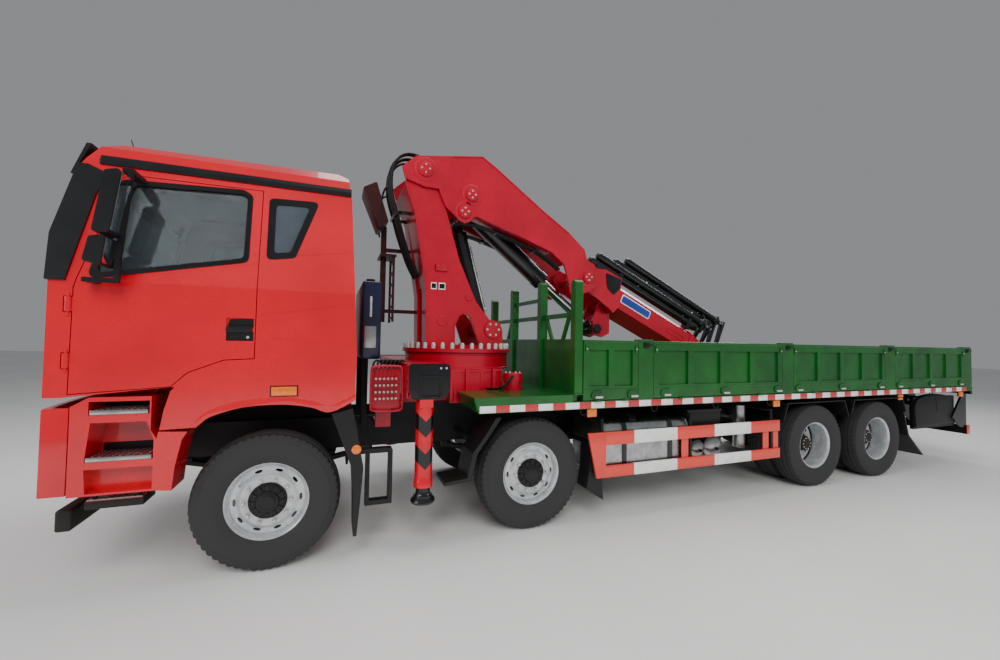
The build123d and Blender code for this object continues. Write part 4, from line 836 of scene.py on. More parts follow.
class MakeCab(bpy.types.Operator):
    """Makes the cab's seals, handles, lamps, wipers, treads and mirror glass"""
    bl_idname = "lorry_crane.cab"
    bl_label = "Cab"

    window = [(-1.092, 2.242), (-0.203, 2.428), (-0.200, 2.930), (-0.248, 2.956), (-0.925, 2.923)]
    quarter = [(-0.040, 2.930), (0.292, 2.944), (0.136, 2.481), (-0.040, 2.452)]
    creases = (((0.159, 2.491), (0.578, 2.556)), ((-0.080, 1.999), (0.600, 2.119)), ((0.002, 1.828), (0.599, 1.771)))

    def doors(self):
        """Window seals, handles and mirror glass on both doors."""
        for side, s in SIDES.items():
            form = Form()
            outer, inner = rounded(grown(self.window, 0.030), 0.055), rounded(grown(self.window, -0.006), 0.040)
            form.frame("moulded_plastic", outer, inner, beside_cab(s, -0.006), beside_cab(s, 0.005))
            grip = rounded([(-0.283, 1.962), (-0.126, 1.976), (-0.122, 1.785), (-0.318, 1.802)], 0.02)
            form.plate("moulded_plastic", grip, s * 1.2215, s * 1.2245, bevel=0)
            lever = rounded([(-0.300, 1.912), (-0.128, 1.918), (-0.128, 1.868), (-0.306, 1.862)], 0.015)
            form.plate("moulded_plastic", lever, s * 1.2255, s * 1.2430, bevel=0.003)
            form.rod("zinc_plate", (-0.160, s * 1.2225, 1.828), (-0.160, s * 1.2290, 1.828), 0.011, 16)
            sill = [(-1.150, 2.168), (-0.112, 2.395), (-0.112, 2.401), (-1.150, 2.177)]
            form.plate("cab_enamel", sill, beside_cab(s, -0.003), beside_cab(s, 0.003), bevel=0)
            form.done(f"door_fittings_{side}", f"door_{side}")
            panes = Form()
            for top, base in (((-0.857, 2.880), (-0.9045, 2.500)), ((-0.9225, 2.448), (-0.9425, 2.285))):
                panes.loops("mirror_glass", [[(top[0] - 0.002, s * y, top[1]), (base[0] - 0.002, s * y, base[1]),
                                              (base[0] + 0.004, s * y, base[1]), (top[0] + 0.004, s * y, top[1])]
                                             for y in (1.362, 1.513)], bevel=0.0015)
            panes.done(f"mirror_panes_{side}", f"door_{side}")

    def skin(self):
        """Quarter-window borders, side lamps, creases, wipers, aerial and roof ribs."""
        form = Form()
        for s in SIDES.values():
            outer, inner = rounded(grown(self.quarter, 0.016), 0.04), rounded(grown(self.quarter, -0.034), 0.03)
            form.frame("moulded_plastic", outer, inner, beside_cab(s, -0.008), beside_cab(s, 0.003))
            form.plate("dark_glass", inner, beside_cab(s, -0.012), beside_cab(s, -0.006), bevel=0)
            form.block("moulded_plastic", (0.004, 0.202), (s * 1.236, s * 1.243), (1.372, 1.457), bevel=0.003)
            form.block("amber_lens", (0.013, 0.193), (s * 1.240, s * 1.256), (1.380, 1.449), bevel=0.007, segments=3)
            for (x0, z0), (x1, z1) in self.creases:
                ridge = [(x0, z0), (x1, z1 - 0.005), (x1, z1 + 0.005)]
                form.plate("cab_enamel", ridge, beside_cab(s, -0.003), beside_cab(s, 0.0025), bevel=0)
            form.rod("moulded_plastic", (-1.000, s * 0.9, 3.200), (-1.040, s * 0.9, 3.330), 0.004, 8)
        for y in (-0.62, 0.10, 0.72):
            form.rod("moulded_plastic", (-1.404, y, 2.185), (-1.425, y, 2.185), 0.016, 12)
            form.pipe("moulded_plastic", [(-1.418, y, 2.185), (-1.400, y + 0.10, 2.260), (-1.379, y + 0.22, 2.340)],
                      0.007)
            form.pipe("moulded_plastic", [(-1.392, y - 0.06, 2.268), (-1.379, y + 0.22, 2.338),
                                          (-1.366, y + 0.42, 2.400)], 0.006)
        for y in (-0.60, -0.20, 0.20, 0.60):
            form.block("cab_enamel", (-0.800, 0.350), (y - 0.03, y + 0.03), (3.240, 3.3045), bevel=0.012)
        form.done("cab_fittings", "cab")

    def arches(self):
        """Smooth wheel-arch lips on the cab and on the steps' lower fenders."""
        edge = [(-0.470, 1.160), (-0.384, 1.234), (-0.171, 1.298), (0.094, 1.309), (0.295, 1.280), (0.441, 1.236),
                (0.632, 1.326)]
        form = Form()
        for s in SIDES.values():
            curve = through(edge)
            top = [(x, z + 0.055) for x, z in reversed(curve)]
            form.plate("cab_enamel", curve + top, s * 1.150, s * 1.2425, bevel=0.002)
        form.done("arch_lips", "cab")

    def front(self):
        """Bumper's shell, lamps, lower bar, blank plate and step treads, which stay on the chassis."""
        def bow(y):
            """Front of the bumper at a width."""
            return -1.450 + 0.120 * (y / 1.240) ** 2
        spread = [-1.240 + 2.480 * n / 24 for n in range(25)]
        shell = Form()
        wall = [(bow(y), y) for y in spread] + [(-1.185, 1.240), (-1.185, 1.205)]
        wall += [(bow(y) + 0.040, y * 0.972) for y in reversed(spread)] + [(-1.185, -1.205), (-1.185, -1.240)]
        shell.flat("cab_enamel", wall, 0.745, 1.330, bevel=0.010)
        tray = [(bow(y) + 0.020, y * 0.985) for y in spread] + [(-1.190, 1.222), (-1.190, -1.222)]
        shell.flat("cab_enamel", tray, 0.750, 0.775, bevel=0.002)
        for s in SIDES.values():
            shell.block("chassis_enamel", (-1.400, -1.150), (s * 0.355, s * 0.372), (0.800, 1.000))
            shell.block("chassis_enamel", (-1.270, -1.150), (s * 0.380, s * 0.435), (0.600, 0.795))
            groove = [(bow(1.10 * k) - 0.002, s * 1.10 * k) for k in (0.50, 0.62, 0.74, 0.86, 0.98)]
            groove += [(x + 0.010, y) for x, y in reversed(groove)]
            shell.flat("moulded_plastic", groove, 0.990, 1.200, bevel=0.001)
        panel = [(bow(y) - out, y) for y, out in ((-0.5, 0.002), (-0.25, 0.003), (0.0, 0.003), (0.25, 0.003),
                                                  (0.5, 0.002), (0.5, -0.01), (-0.5, -0.01))]
        shell.flat("moulded_plastic", panel, 0.800, 0.960, bevel=0.001)
        shell.done("bumper_shell", "chassis", ("bumper",))
        form = Form()
        for s in SIDES.values():
            steps = [0.645 + 0.43 * n / 8 for n in range(9)]
            edge = [(bow(y) - 0.007, s * y) for y in steps] + [(bow(y) + 0.014, s * y) for y in reversed(steps)]
            form.flat("clear_lens", edge, 1.014, 1.176, bevel=0.002)
            for y in (0.74, 0.86, 0.98):
                form.turned("aluminium_sheet", (bow(y) + 0.020, s * y, 1.095), (-1, 0, 0),
                            [(-0.010, 0.020), (0.0, 0.050), (0.022, 0.056), (0.022, 0.050), (0.004, 0.018),
                             (0.004, 0.0)], 24)
            corner = [(bow(y) - out, s * y) for y, out in ((1.105, 0.001), (1.170, 0.001), (1.170, -0.02),
                                                           (1.105, -0.02))]
            form.flat("amber_lens", corner, 1.030, 1.160)
            form.turned("clear_lens", (bow(0.94) + 0.01, s * 0.94, 0.860), (-1, 0, 0),
                        [(-0.02, 0.058), (0.006, 0.058), (0.012, 0.040), (0.014, 0.0)], 32)
        form.block("chassis_enamel", (-1.296, -1.204), (-1.106, 1.106), (0.464, 0.616), bevel=0.018, segments=3)
        blank = [(bow(y) - out, y) for y, out in ((-0.26, 0.0005), (0.0, 0.004), (0.26, 0.0005), (0.26, -0.015),
                                                  (-0.26, -0.015))]
        form.flat("white_film", blank, 1.060, 1.170, bevel=0.001)
        form.done("front_fittings", "chassis")
        treads = Form()
        stud = Form()
        stud.turned("aluminium_sheet", (0, 0, 0), (0, 0, 1), [(0.0, 0.008), (0.003, 0.007), (0.003, 0.0045),
                                                              (0.0008, 0.004), (0.0008, 0.0)], 10)
        for s in SIDES.values():
            for x, y, z, thick in (((-1.076, -0.752), (1.020, 1.246), 1.281, 0.032),
                                   ((-1.088, -0.722), (1.020, 1.246), 0.963, 0.032),
                                   ((-1.080, -0.770), (1.015, 1.222), 0.6955, 0.010)):
                treads.block("aluminium_sheet", x, (s * y[0], s * y[1]), (z, z + thick), bevel=0.006)
                for row in range(5):
                    treads.row("aluminium_sheet", stud, 9, ((x[1] - x[0] - 0.06) / 8, 0.0, 0.0),
                               (x[0] + 0.03, s * (y[0] + 0.03 + 0.042 * row), z + thick))
            treads.block("chassis_enamel", (-1.090, -0.760), (s * 1.005, s * 1.229), (0.640, 0.6952), bevel=0.008)
            for x in (-1.0475, -0.8025):
                treads.block("chassis_enamel", (x - 0.015, x + 0.015), (s * 1.178, s * 1.203), (0.690, 0.748))
            for z in (1.281, 0.963):
                treads.block("moulded_plastic", (-1.080, -0.750), (s * 1.0105, s * 1.014), (z + 0.01, z + 0.085))
        treads.done("step_treads", "chassis")

    def inside(self):
        """Seat covers and headrests in the cab."""
        for name, y in (("seat_cover_left", -0.78), ("seat_cover_right", 0.78)):
            form = Form()
            form.block("seat_cloth", (-0.788, -0.300), (y - 0.258, y + 0.258), (1.870, 1.915), bevel=0.022,
                       segments=4)
            form.plate("seat_cloth", [(-0.318, 1.905), (-0.208, 1.905), (-0.080, 2.568), (-0.210, 2.572)],
                       y - 0.248, y + 0.248, bevel=0.030)
            form.plate("seat_cloth", [(-0.200, 2.575), (-0.088, 2.575), (-0.066, 2.748), (-0.174, 2.752)],
                       y - 0.138, y + 0.138, bevel=0.030)
            made = form.done(name, "cab")

    def execute(self, context):
        self.doors()
        self.skin()
        self.arches()
        self.front()
        self.inside()
        return {"FINISHED"}


class MakeChassis(bpy.types.Operator):
    """Makes the side guards, tanks, marker lamps, reflectors and rear lamps"""
    bl_idname = "lorry_crane.chassis"
    bl_label = "Chassis"

    def guards(self):
        """Guards in red and white blocks on both sides, in place of the frame's plain ones."""
        form = Form()
        for s in SIDES.values():
            y = (s * 1.215, s * 1.240)
            front = [(2.881, 0.915), (2.985, 0.450), (3.100, 0.450), (3.100, 0.915)]
            form.plate("guard_red", front, y[0], y[1])
            ends = (3.095, 3.454, 4.041, 4.597, 5.186, 5.690)
            for n, (x0, x1) in enumerate(zip(ends, ends[1:])):
                name = "guard_white" if n % 2 else "guard_red"
                for z in ((0.780, 0.915), (0.450, 0.570)):
                    form.block(name, (x0, x1 + 0.0002), y, z, bevel=0.003 if n in (0, 4) else 0.0015)
            for x in (4.124, 5.420):
                form.block("guard_red", (x, x + 0.100), (s * 1.205, s * 1.2165), (0.450, 0.915))
            form.block("guard_red", (5.600, 5.690), (s * 1.205, s * 1.2165), (0.450, 0.915))
            for x in (3.050, 4.245, 5.560):
                form.block("chassis_enamel", (x, x + 0.030), (s * 0.435, s * 1.215), (1.020, 1.050))
                form.block("chassis_enamel", (x, x + 0.030), (s * 1.185, s * 1.215), (0.480, 1.030))
        form.done("side_guard_bars", "chassis", ("side_guards",))

    def tanks(self):
        """Fuel tank, air tanks, boxes, silencer and oil tank, in place of the frame's plain ones."""
        form = Form()
        shell = rounded([(-1.190, 0.450), (-0.580, 0.450), (-0.580, 1.010), (-1.190, 1.010)], 0.110, 8)
        form.cross("aluminium_sheet", shell, 3.100, 4.240, bevel=0.006)
        form.cross("aluminium_sheet", grown(shell, 0.003), 3.660, 3.676, bevel=0.001)
        for x in (3.100, 4.222):
            form.cross("aluminium_sheet", grown(shell, 0.004), x - 0.002, x + 0.020, bevel=0.003)
        for x in (3.330, 3.950):
            form.cross("cylinder_enamel", grown(shell, 0.007), x, x + 0.060, bevel=0.002)
            form.block("chassis_enamel", (x, x + 0.060), (-0.600, -0.435), (0.780, 0.860))
            form.rod("zinc_plate", (x + 0.030, -1.140, 0.520), (x + 0.030, -1.194, 0.505), 0.010, 12)
        form.rod("moulded_plastic", (3.520, -1.080, 1.000), (3.520, -1.110, 1.040), 0.050, 24, 0.006)
        for x, z, radius in ((4.500, 0.615, 0.106), (4.754, 0.620, 0.147)):
            form.turned("aluminium_sheet", (x, -0.560, z), (0, -1, 0),
                        [(0.0, 0.0), (0.004, radius * 0.6), (0.030, radius * 0.96), (0.045, radius),
                         (0.505, radius), (0.520, radius * 0.96), (0.552, radius * 0.6), (0.560, 0.0)], 40)
            form.rod("chassis_enamel", (x, -1.112, z - 0.02), (x, -1.145, z - 0.02), 0.018, 12)
            for y in (-0.66, -1.02):
                form.turned("cylinder_enamel", (x, y, z), (0, -1, 0), [(0, radius - 0.004), (0, radius + 0.004),
                                                                       (0.03, radius + 0.004), (0.03, radius - 0.004),
                                                                       (0, radius - 0.004)], 40)
            form.block("chassis_enamel", (x - 0.020, x + 0.020), (-0.900, -0.840), (z + radius - 0.01, 0.890))
        form.block("moulded_plastic", (4.280, 4.790), (-1.150, -0.560), (0.880, 1.080), bevel=0.012)
        form.block("moulded_plastic", (4.270, 4.800), (-1.158, -0.552), (1.050, 1.085), bevel=0.008)
        form.block("chassis_enamel", (4.300, 4.360), (-0.570, -0.435), (0.900, 0.980))
        form.rod("aluminium_sheet", (5.270, -1.000, 0.560), (5.270, -1.000, 1.090), 0.070, 32, 0.006)
        form.block("aluminium_sheet", (5.240, 5.300), (-0.950, -0.435), (0.900, 0.960))
        form.block("chassis_enamel", (3.150, 4.700), (0.560, 1.150), (0.480, 1.010), bevel=0.02)
        for x in (3.400, 4.400):
            form.block("chassis_enamel", (x, x + 0.060), (0.435, 0.570), (0.800, 0.900))
        form.done("tanks_and_boxes", "chassis", ("tanks",))
        oil = Form()
        oil.block("navy_enamel", (0.700, 0.880), (-0.650, 0.650), (1.640, 2.400), bevel=0.02, segments=3)
        for s in SIDES.values():
            oil.block("chassis_enamel", (0.720, 0.780), (s * 0.435, s * 0.480), (0.980, 1.660))
        oil.block("aluminium_sheet", (0.725, 0.835), (-0.656, -0.648), (1.750, 1.960), bevel=0.004)
        oil.rod("clear_lens", (0.780, -0.653, 2.050), (0.780, -0.653, 2.250), 0.012, 12)
        oil.rod("moulded_plastic", (0.790, -0.400, 2.395), (0.790, -0.400, 2.450), 0.045, 24, 0.006)
        oil.done("oil_tank", "chassis")

    def lamps(self):
        """Marker lamps, rear lamps, end caps, blank plate and the rear mudguards' humps."""
        form = Form()
        for s in SIDES.values():
            for x in (2.930, 5.650, 8.300, 9.970):
                form.block("chassis_enamel", (x - 0.045, x + 0.045), (s * 1.195, s * 1.212), (1.080, 1.170))
                form.block("amber_lens", (x - 0.055, x + 0.055), (s * 1.210, s * 1.234), (1.078, 1.158), bevel=0.008,
                           segments=3)
            form.turned("amber_lens", (0.650, s * 1.234, 0.920), (0, s, 0),
                        [(0.0, 0.038), (0.004, 0.038), (0.009, 0.032), (0.011, 0.0)], 28)
            form.block("guard_red", (10.252, 10.3485), (s * 1.120, s * 1.184), (0.442, 0.590), bevel=0.008)
            form.block("moulded_plastic", (10.262, 10.330), (s * 0.700, s * 1.080), (0.600, 0.730), bevel=0.01)
            for n, name in enumerate(("red_lens", "amber_lens", "red_lens")):
                y = 0.715 + 0.122 * n
                form.block(name, (10.322, 10.340), (s * y, s * (y + 0.108)), (0.612, 0.718), bevel=0.006)
            form.block("chassis_enamel", (10.270, 10.300), (s * 0.850, s * 0.900), (0.580, 0.610))
            hump = through([(8.900, 0.615), (8.885, 0.980), (9.050, 1.085), (9.430, 1.120), (9.800, 1.080),
                            (9.960, 0.900), (10.020, 0.640)])
            form.plate("moulded_plastic", hump, s * 1.050, s * 1.140, bevel=0.018)
            crease = through([(9.440, 1.112), (9.450, 1.020), (9.470, 0.900), (9.480, 0.820)])
            form.pipe("moulded_plastic", [(x, s * 1.136, z) for x, z in crease[::4]], 0.012)
        form.block("white_film", (10.3400, 10.3490), (-0.240, 0.240), (0.455, 0.577), bevel=0.002)
        form.done("lamps_and_reflectors", "chassis")

    def execute(self, context):
        self.guards()
        self.tanks()
        self.lamps()
        return {"FINISHED"}


class MakeBed(bpy.types.Operator):
    """Makes the bed's reflective tape, hinge brackets, caps, latches and hooks"""
    bl_idname = "lorry_crane.bed"
    bl_label = "Bed"

    def execute(self, context):
        sizes = context.scene.lorry_crane_sizes
        pitch = sizes.tape_pitch
        start, end = 1.715, 10.240
        count = int((end - start) / pitch)
        form = Form()
        for s in SIDES.values():
            for name, place, share in (("tape_white", 0.0, 0.53), ("tape_red", 0.53, 0.47)):
                unit = Form()
                unit.block(name, (0.0, pitch * share), (s * 1.2345, s * 1.2362), (1.168, 1.232), bevel=0.0005)
                form.row(name, unit, count, (pitch, 0.0, 0.0), (start + place * pitch, 0, 0))
        for name, y in (("tape_white", -1.2), ("tape_red", -1.05)):
            unit = Form()
            unit.block(name, (10.2945, 10.2965), (0.0, 0.15), (1.160, 1.215), bevel=0.0005)
            form.row(name, unit, 8, (0.0, 0.3, 0.0), (0, y, 0))
        hook = Form()
        hook.pipe("chassis_enamel", [(0, 0, 0), (0, 0, -0.05), (0.04, 0, -0.07), (0.08, 0, -0.05), (0.08, 0, 0)],
                  0.006)
        for s in SIDES.values():
            form.row("chassis_enamel", hook, 9, (0.9, 0.0, 0.0), (2.8, s * 1.212, 1.166))
        form.done("bed_tape_and_hooks", "chassis")
        spots = ((2.985, 3.430), (3.875, 4.762, 5.660), (6.050, 6.920, 7.790), (8.250, 9.090, 9.930))
        for number, ((front, rear), places) in enumerate(zip(PANELS, spots), start=1):
            for side, s in SIDES.items():
                trim = Form()
                trim.block("bed_enamel", (front, rear), (s * 1.186, s * 1.248), (1.8385, 1.866), bevel=0.007)
                for x in places:
                    trim.pipe("bed_enamel", [(x + 0.050, s * 1.249, 1.338), (x - 0.030, s * 1.249, 1.342),
                                             (x - 0.070, s * 1.249, 1.315), (x - 0.065, s * 1.249, 1.275),
                                             (x - 0.020, s * 1.249, 1.262)], 0.009)
                    trim.block("zinc_plate", (x - 0.030, x + 0.060), (s * 1.238, s * 1.256), (1.268, 1.290),
                               bevel=0.003)
                trim.block("bed_enamel", (front + 0.002, rear - 0.002), (s * 1.2385, s * 1.2435), (1.352, 1.366),
                           bevel=0.0015)
                for x in (front + 0.030, rear - 0.030):
                    trim.block("bed_enamel", (x - 0.012, x + 0.012), (s * 1.239, s * 1.252), (1.735, 1.815),
                               bevel=0.003)
                    trim.rod("zinc_plate", (x, s * 1.238, 1.775), (x, s * 1.262, 1.775), 0.007, 12, 0.001)
                trim.done(f"panel_fittings_{number}_{side}", f"dropside_{number}_{side}")
        gate = Form()
        gate.block("bed_enamel", (10.2475, 10.306), (-1.230, 1.230), (1.8385, 1.866), bevel=0.007)
        for y in (-1.0, 0.0, 1.0):
            gate.block("zinc_plate", (10.299, 10.312), (y - 0.045, y + 0.045), (1.280, 1.330), bevel=0.003)
        gate.done("gate_fittings", "tailgate")
        posts = Form()
        for s in SIDES.values():
            for x in (3.600, 5.837, 8.021, 10.135):
                posts.block("bed_enamel", (x - 0.098, x + 0.098), (s * 1.160, s * 1.247), (1.866, 1.882), bevel=0.004)
                posts.block("chassis_enamel", (x - 0.030, x + 0.030), (s * 1.238, s * 1.254), (1.790, 1.850))
                posts.pipe("chassis_enamel", [(x - 0.02, s * 1.250, 1.835), (x + 0.03, s * 1.268, 1.845),
                                          (x + 0.075, s * 1.262, 1.815)], 0.006)
            for y in (0.420, 1.190):
                posts.block("bed_enamel", (2.700, 2.820), (s * (y - 0.06), s * (y + 0.06)), (1.310, 1.322),
                            bevel=0.003)
        posts.done("post_fittings", "chassis")
        return {"FINISHED"}


class MakeCraneFoot(bpy.types.Operator):
    """Makes the fittings of the crane's base, valve bank, outriggers and jacks"""
    bl_idname = "lorry_crane.crane_foot"
    bl_label = "Crane foot"

    def execute(self, context):
        base = Form()
        bolts = hexagon_bolt("crane_enamel", 0.014, 0.014)
        base.turned("crane_enamel", (SLEW_X, 0, 1.530), (0, 0, 1),
                    [(0.0, 0.600), (0.0, 0.612), (0.014, 0.612), (0.020, 0.602), (0.150, 0.602), (0.156, 0.610),
                     (0.170, 0.610), (0.170, 0.600), (0.0, 0.600)], 72)
        base.ring("crane_enamel", bolts, 28, 0.585,
                  Matrix.Translation((SLEW_X, 0, 1.5345)) @ Matrix.Rotation(math.pi, 4, "X"))
        for s in SIDES.values():
            for x in (1.600, 1.930):
                base.block("crane_enamel", (x, x + 0.040), (s * 0.598, s * 0.608), (1.190, 1.530), bevel=0.002)
            base.block("crane_enamel", (1.600, 2.180), (s * 0.598, s * 0.606), (1.500, 1.530), bevel=0.002)
        base.turned("crane_enamel", (2.268, -0.700, 1.300), (0, 0, 1),
                    [(0.0, 0.094), (0.110, 0.0965), (0.112, 0.106), (0.196, 0.106), (0.200, 0.098), (0.2005, 0.0)],
                    32)
        base.ring("zinc_plate", hexagon_bolt("zinc_plate", 0.009, 0.010), 8, 0.080,
                  Matrix.Translation((2.268, -0.700, 1.500)))
        base.pipe("hose_rubber", [(2.230, -0.790, 1.470), (2.170, -0.840, 1.450), (2.130, -0.850, 1.380),
                                  (2.040, -0.800, 1.330), (1.990, -0.640, 1.330)], 0.014)
        base.done("base_fittings", "chassis")
        bank = Form()
        unit = Form()
        unit.rod("zinc_plate", (0, 0, 0), (0, -0.045, 0.012), 0.005, 10, 0.001)
        unit.turned("cylinder_enamel", (0, -0.045, 0.012), (0, -1, 0.2),
                    [(-0.010, 0.0), (-0.007, 0.009), (0.004, 0.012), (0.014, 0.009), (0.018, 0.0)], 12)
        for z in (1.280, 1.340, 1.400, 1.460):
            bank.row("zinc_plate", unit, 6, (0.036, 0.0, 0.0), (0.816, -0.898, z))
        rail = [(0.775, -0.930, 1.200), (0.775, -0.930, 1.560), (0.790, -0.930, 1.590), (1.040, -0.930, 1.590),
                (1.060, -0.930, 1.560), (1.060, -0.930, 1.200), (1.040, -0.930, 1.175), (0.790, -0.930, 1.175)]
        bank.pipe("crane_enamel", rail + rail[:1], 0.011)
        for x in (0.790, 1.045):
            for z in (1.250, 1.520):
                bank.rod("crane_enamel", (x, -0.875, z), (x, -0.932, z), 0.009, 10, 0.001)
        for n in range(7):
            x = 0.800 + 0.038 * n
            bank.pipe("hose_rubber", [(x, -0.800, 1.555), (x, -0.800, 1.610), (x + 0.04, -0.760, 1.640),
                                      (x + 0.10, -0.690, 1.600), (1.120, -0.640 + 0.02 * n, 1.560)], 0.010)
        bank.done("valve_fittings", "chassis")
        for side, s in SIDES.items():
            cover = Form()
            outline = rounded([(1.062, 1.400), (1.062, 1.620), (1.430, 1.620), (1.430, 1.400), (1.390, 1.312),
                               (1.100, 1.312)], 0.02)
            cover.plate("moulded_plastic", outline, s * LEG_Y, s * 1.2385, bevel=0.004)
            square = rounded([(1.157, 1.325), (1.157, 1.522), (1.356, 1.522), (1.356, 1.325)], 0.015)
            hollow = rounded([(1.175, 1.343), (1.175, 1.504), (1.338, 1.504), (1.338, 1.343)], 0.012)
            cover.frame("moulded_plastic", square, hollow, lambda z: s * 1.236, lambda z: s * 1.246, bevel=0.002)
            cover.row("zinc_plate", hexagon_bolt("zinc_plate", 0.008, 0.006), 2, (0.05, 0.0, 0.0),
                      facing_out((1.345, s * 1.238, 1.585), s))
            cover.turned("leg_enamel", (LEG_X, s * LEG_Y, 0.540), (0, 0, 1),
                         [(0.0, 0.078), (0.0, 0.084), (0.055, 0.084), (0.062, 0.0795), (0.100, 0.0795),
                          (0.106, 0.0785), (0.106, 0.078), (0.0, 0.078)], 48)
            cover.done(f"leg_fittings_{side}", f"outrigger_{side}")
            foot = Form()
            foot.turned("cylinder_enamel", (LEG_X, s * LEG_Y, 0.396), (0, 0, 1),
                        [(0.0, 0.0), (0.0, 0.085), (0.006, 0.103), (0.024, 0.110), (0.042, 0.103), (0.056, 0.084),
                         (0.080, 0.070), (0.100, 0.0625), (0.128, 0.0620), (0.128, 0.0)], 48)
            foot.ring("zinc_plate", hexagon_bolt("zinc_plate", 0.008, 0.008), 6, 0.062,
                      Matrix.Translation((LEG_X, s * LEG_Y, 0.4755)))
            foot.done(f"jack_foot_{side}", f"jack_{side}")
        return {"FINISHED"}


class MakeColumn(bpy.types.Operator):
    """Makes the turntable's studs, the column's plates and hoses and the operator's seat rails"""
    bl_idname = "lorry_crane.column"
    bl_label = "Column"

    def execute(self, context):
        sizes = context.scene.lorry_crane_sizes
        form = Form()
        unit = Form()
        unit.turned("zinc_plate", (0, 0, 0), (0, 0, 1),
                    [(0.0, 0.0225), (0.052, 0.0225), (0.062, 0.018), (0.068, 0.010), (0.070, 0.0)], 12)
        form.ring("zinc_plate", unit, sizes.slew_studs, 0.600, Matrix.Translation((SLEW_X, 0, 1.745)))
        form.turned("crane_enamel", (SLEW_X, 0, 1.7085), (0, 0, 1),
                    [(0.0, 0.630), (0.002, 0.6335), (0.038, 0.6335), (0.041, 0.630), (0.0, 0.630)], 96)
        for s in SIDES.values():
            y = s * COLUMN_CHEEK
            for (x, z), radius in ((COLUMN_PIN, 0.085), ((1.560, 2.050), 0.060), ((1.860, 2.330), 0.045)):
                form.turned("crane_enamel", (x, y, z), (0, s, 0),
                            [(0.0, radius), (0.004, radius), (0.008, radius - 0.004), (0.008, 0.0)], 32)
            slot = [(1.710, 1.790), (1.706, 2.000), (1.755, 2.110), (1.812, 2.141), (1.870, 2.110), (1.918, 2.000),
                    (1.990, 1.790)]
            form.frame("crane_enamel", grown(slot, 0.020), grown(slot, 0.004), lambda z: y - s * 0.002,
                       lambda z: y + s * 0.006)
            for x0, x1 in ((1.425, 1.487), (1.512, 1.585)):
                form.block("white_film", (x0, x1), (y - s * 0.001, y + s * 0.0025), (2.395, 2.470), bevel=0.0008)
                form.block("moulded_plastic", (x0 + 0.006, x1 - 0.006), (y + s * 0.002, y + s * 0.0035),
                           (2.405, 2.460), bevel=0.0005)
            form.block("crane_enamel", (1.470, 1.600), (y - s * 0.002, y + s * 0.028), (2.600, 2.680), bevel=0.006)
            seam = [(1.395, 1.790), (1.383, 2.374), (1.245, 3.230), (1.140, 3.517), (1.150, 3.520), (1.255, 3.235),
                    (1.393, 2.376), (1.405, 1.790)]
            form.plate("crane_enamel", seam, y - s * 0.002, y + s * 0.004, bevel=0)
            form.ring("zinc_plate", hexagon_bolt("zinc_plate", 0.011, 0.010), 6, 0.070,
                      facing_out((LIFT_FOOT[0], s * 0.385, LIFT_FOOT[1]), s))
        form.done("column_fittings", "column")
        hoses = Form()
        for n in range(7):
            y = -0.150 + 0.050 * n
            spread = 0.012 * (n % 3)
            hoses.pipe("hose_rubber", [
                (1.330, y, 2.560), (1.240, y, 2.700), (1.150 - spread, y, 2.981), (1.075 - spread, y, 3.250),
                (1.000 - spread, y, 3.500), (1.010 - spread, y, 3.780), (1.120, y, 3.930 + spread),
                (1.277, y, 3.945 + spread), (1.400, y, 3.880), (1.430, y, 3.780)], sizes.hose_radius)
        hoses.block("cylinder_enamel", (1.035, 1.120), (-0.190, 0.190), (3.225, 3.260), bevel=0.006)
        for s in (-1, 1):
            hoses.block("cylinder_enamel", (1.085, 1.245), (s * 0.178, s * 0.190), (3.225, 3.265), bevel=0.003)
        hoses.done("column_hoses", "column")
        seat = Form()
        rail = [(0.940, 0.010, 3.080), (0.900, 0.010, 3.330), (0.940, 0.010, 3.560), (1.010, 0.010, 3.590),
                (1.020, 0.200, 3.590), (1.010, 0.390, 3.590), (0.940, 0.390, 3.560), (0.900, 0.390, 3.330),
                (0.940, 0.390, 3.080)]
        seat.pipe("cylinder_enamel", rail, 0.012)
        seat.plate("seat_vinyl", [(0.716, 3.548), (0.748, 3.570), (0.925, 3.120), (0.893, 3.096)], 0.030, 0.370,
                   bevel=0.012)
        seat.done("seat_rails", "column")
        return {"FINISHED"}


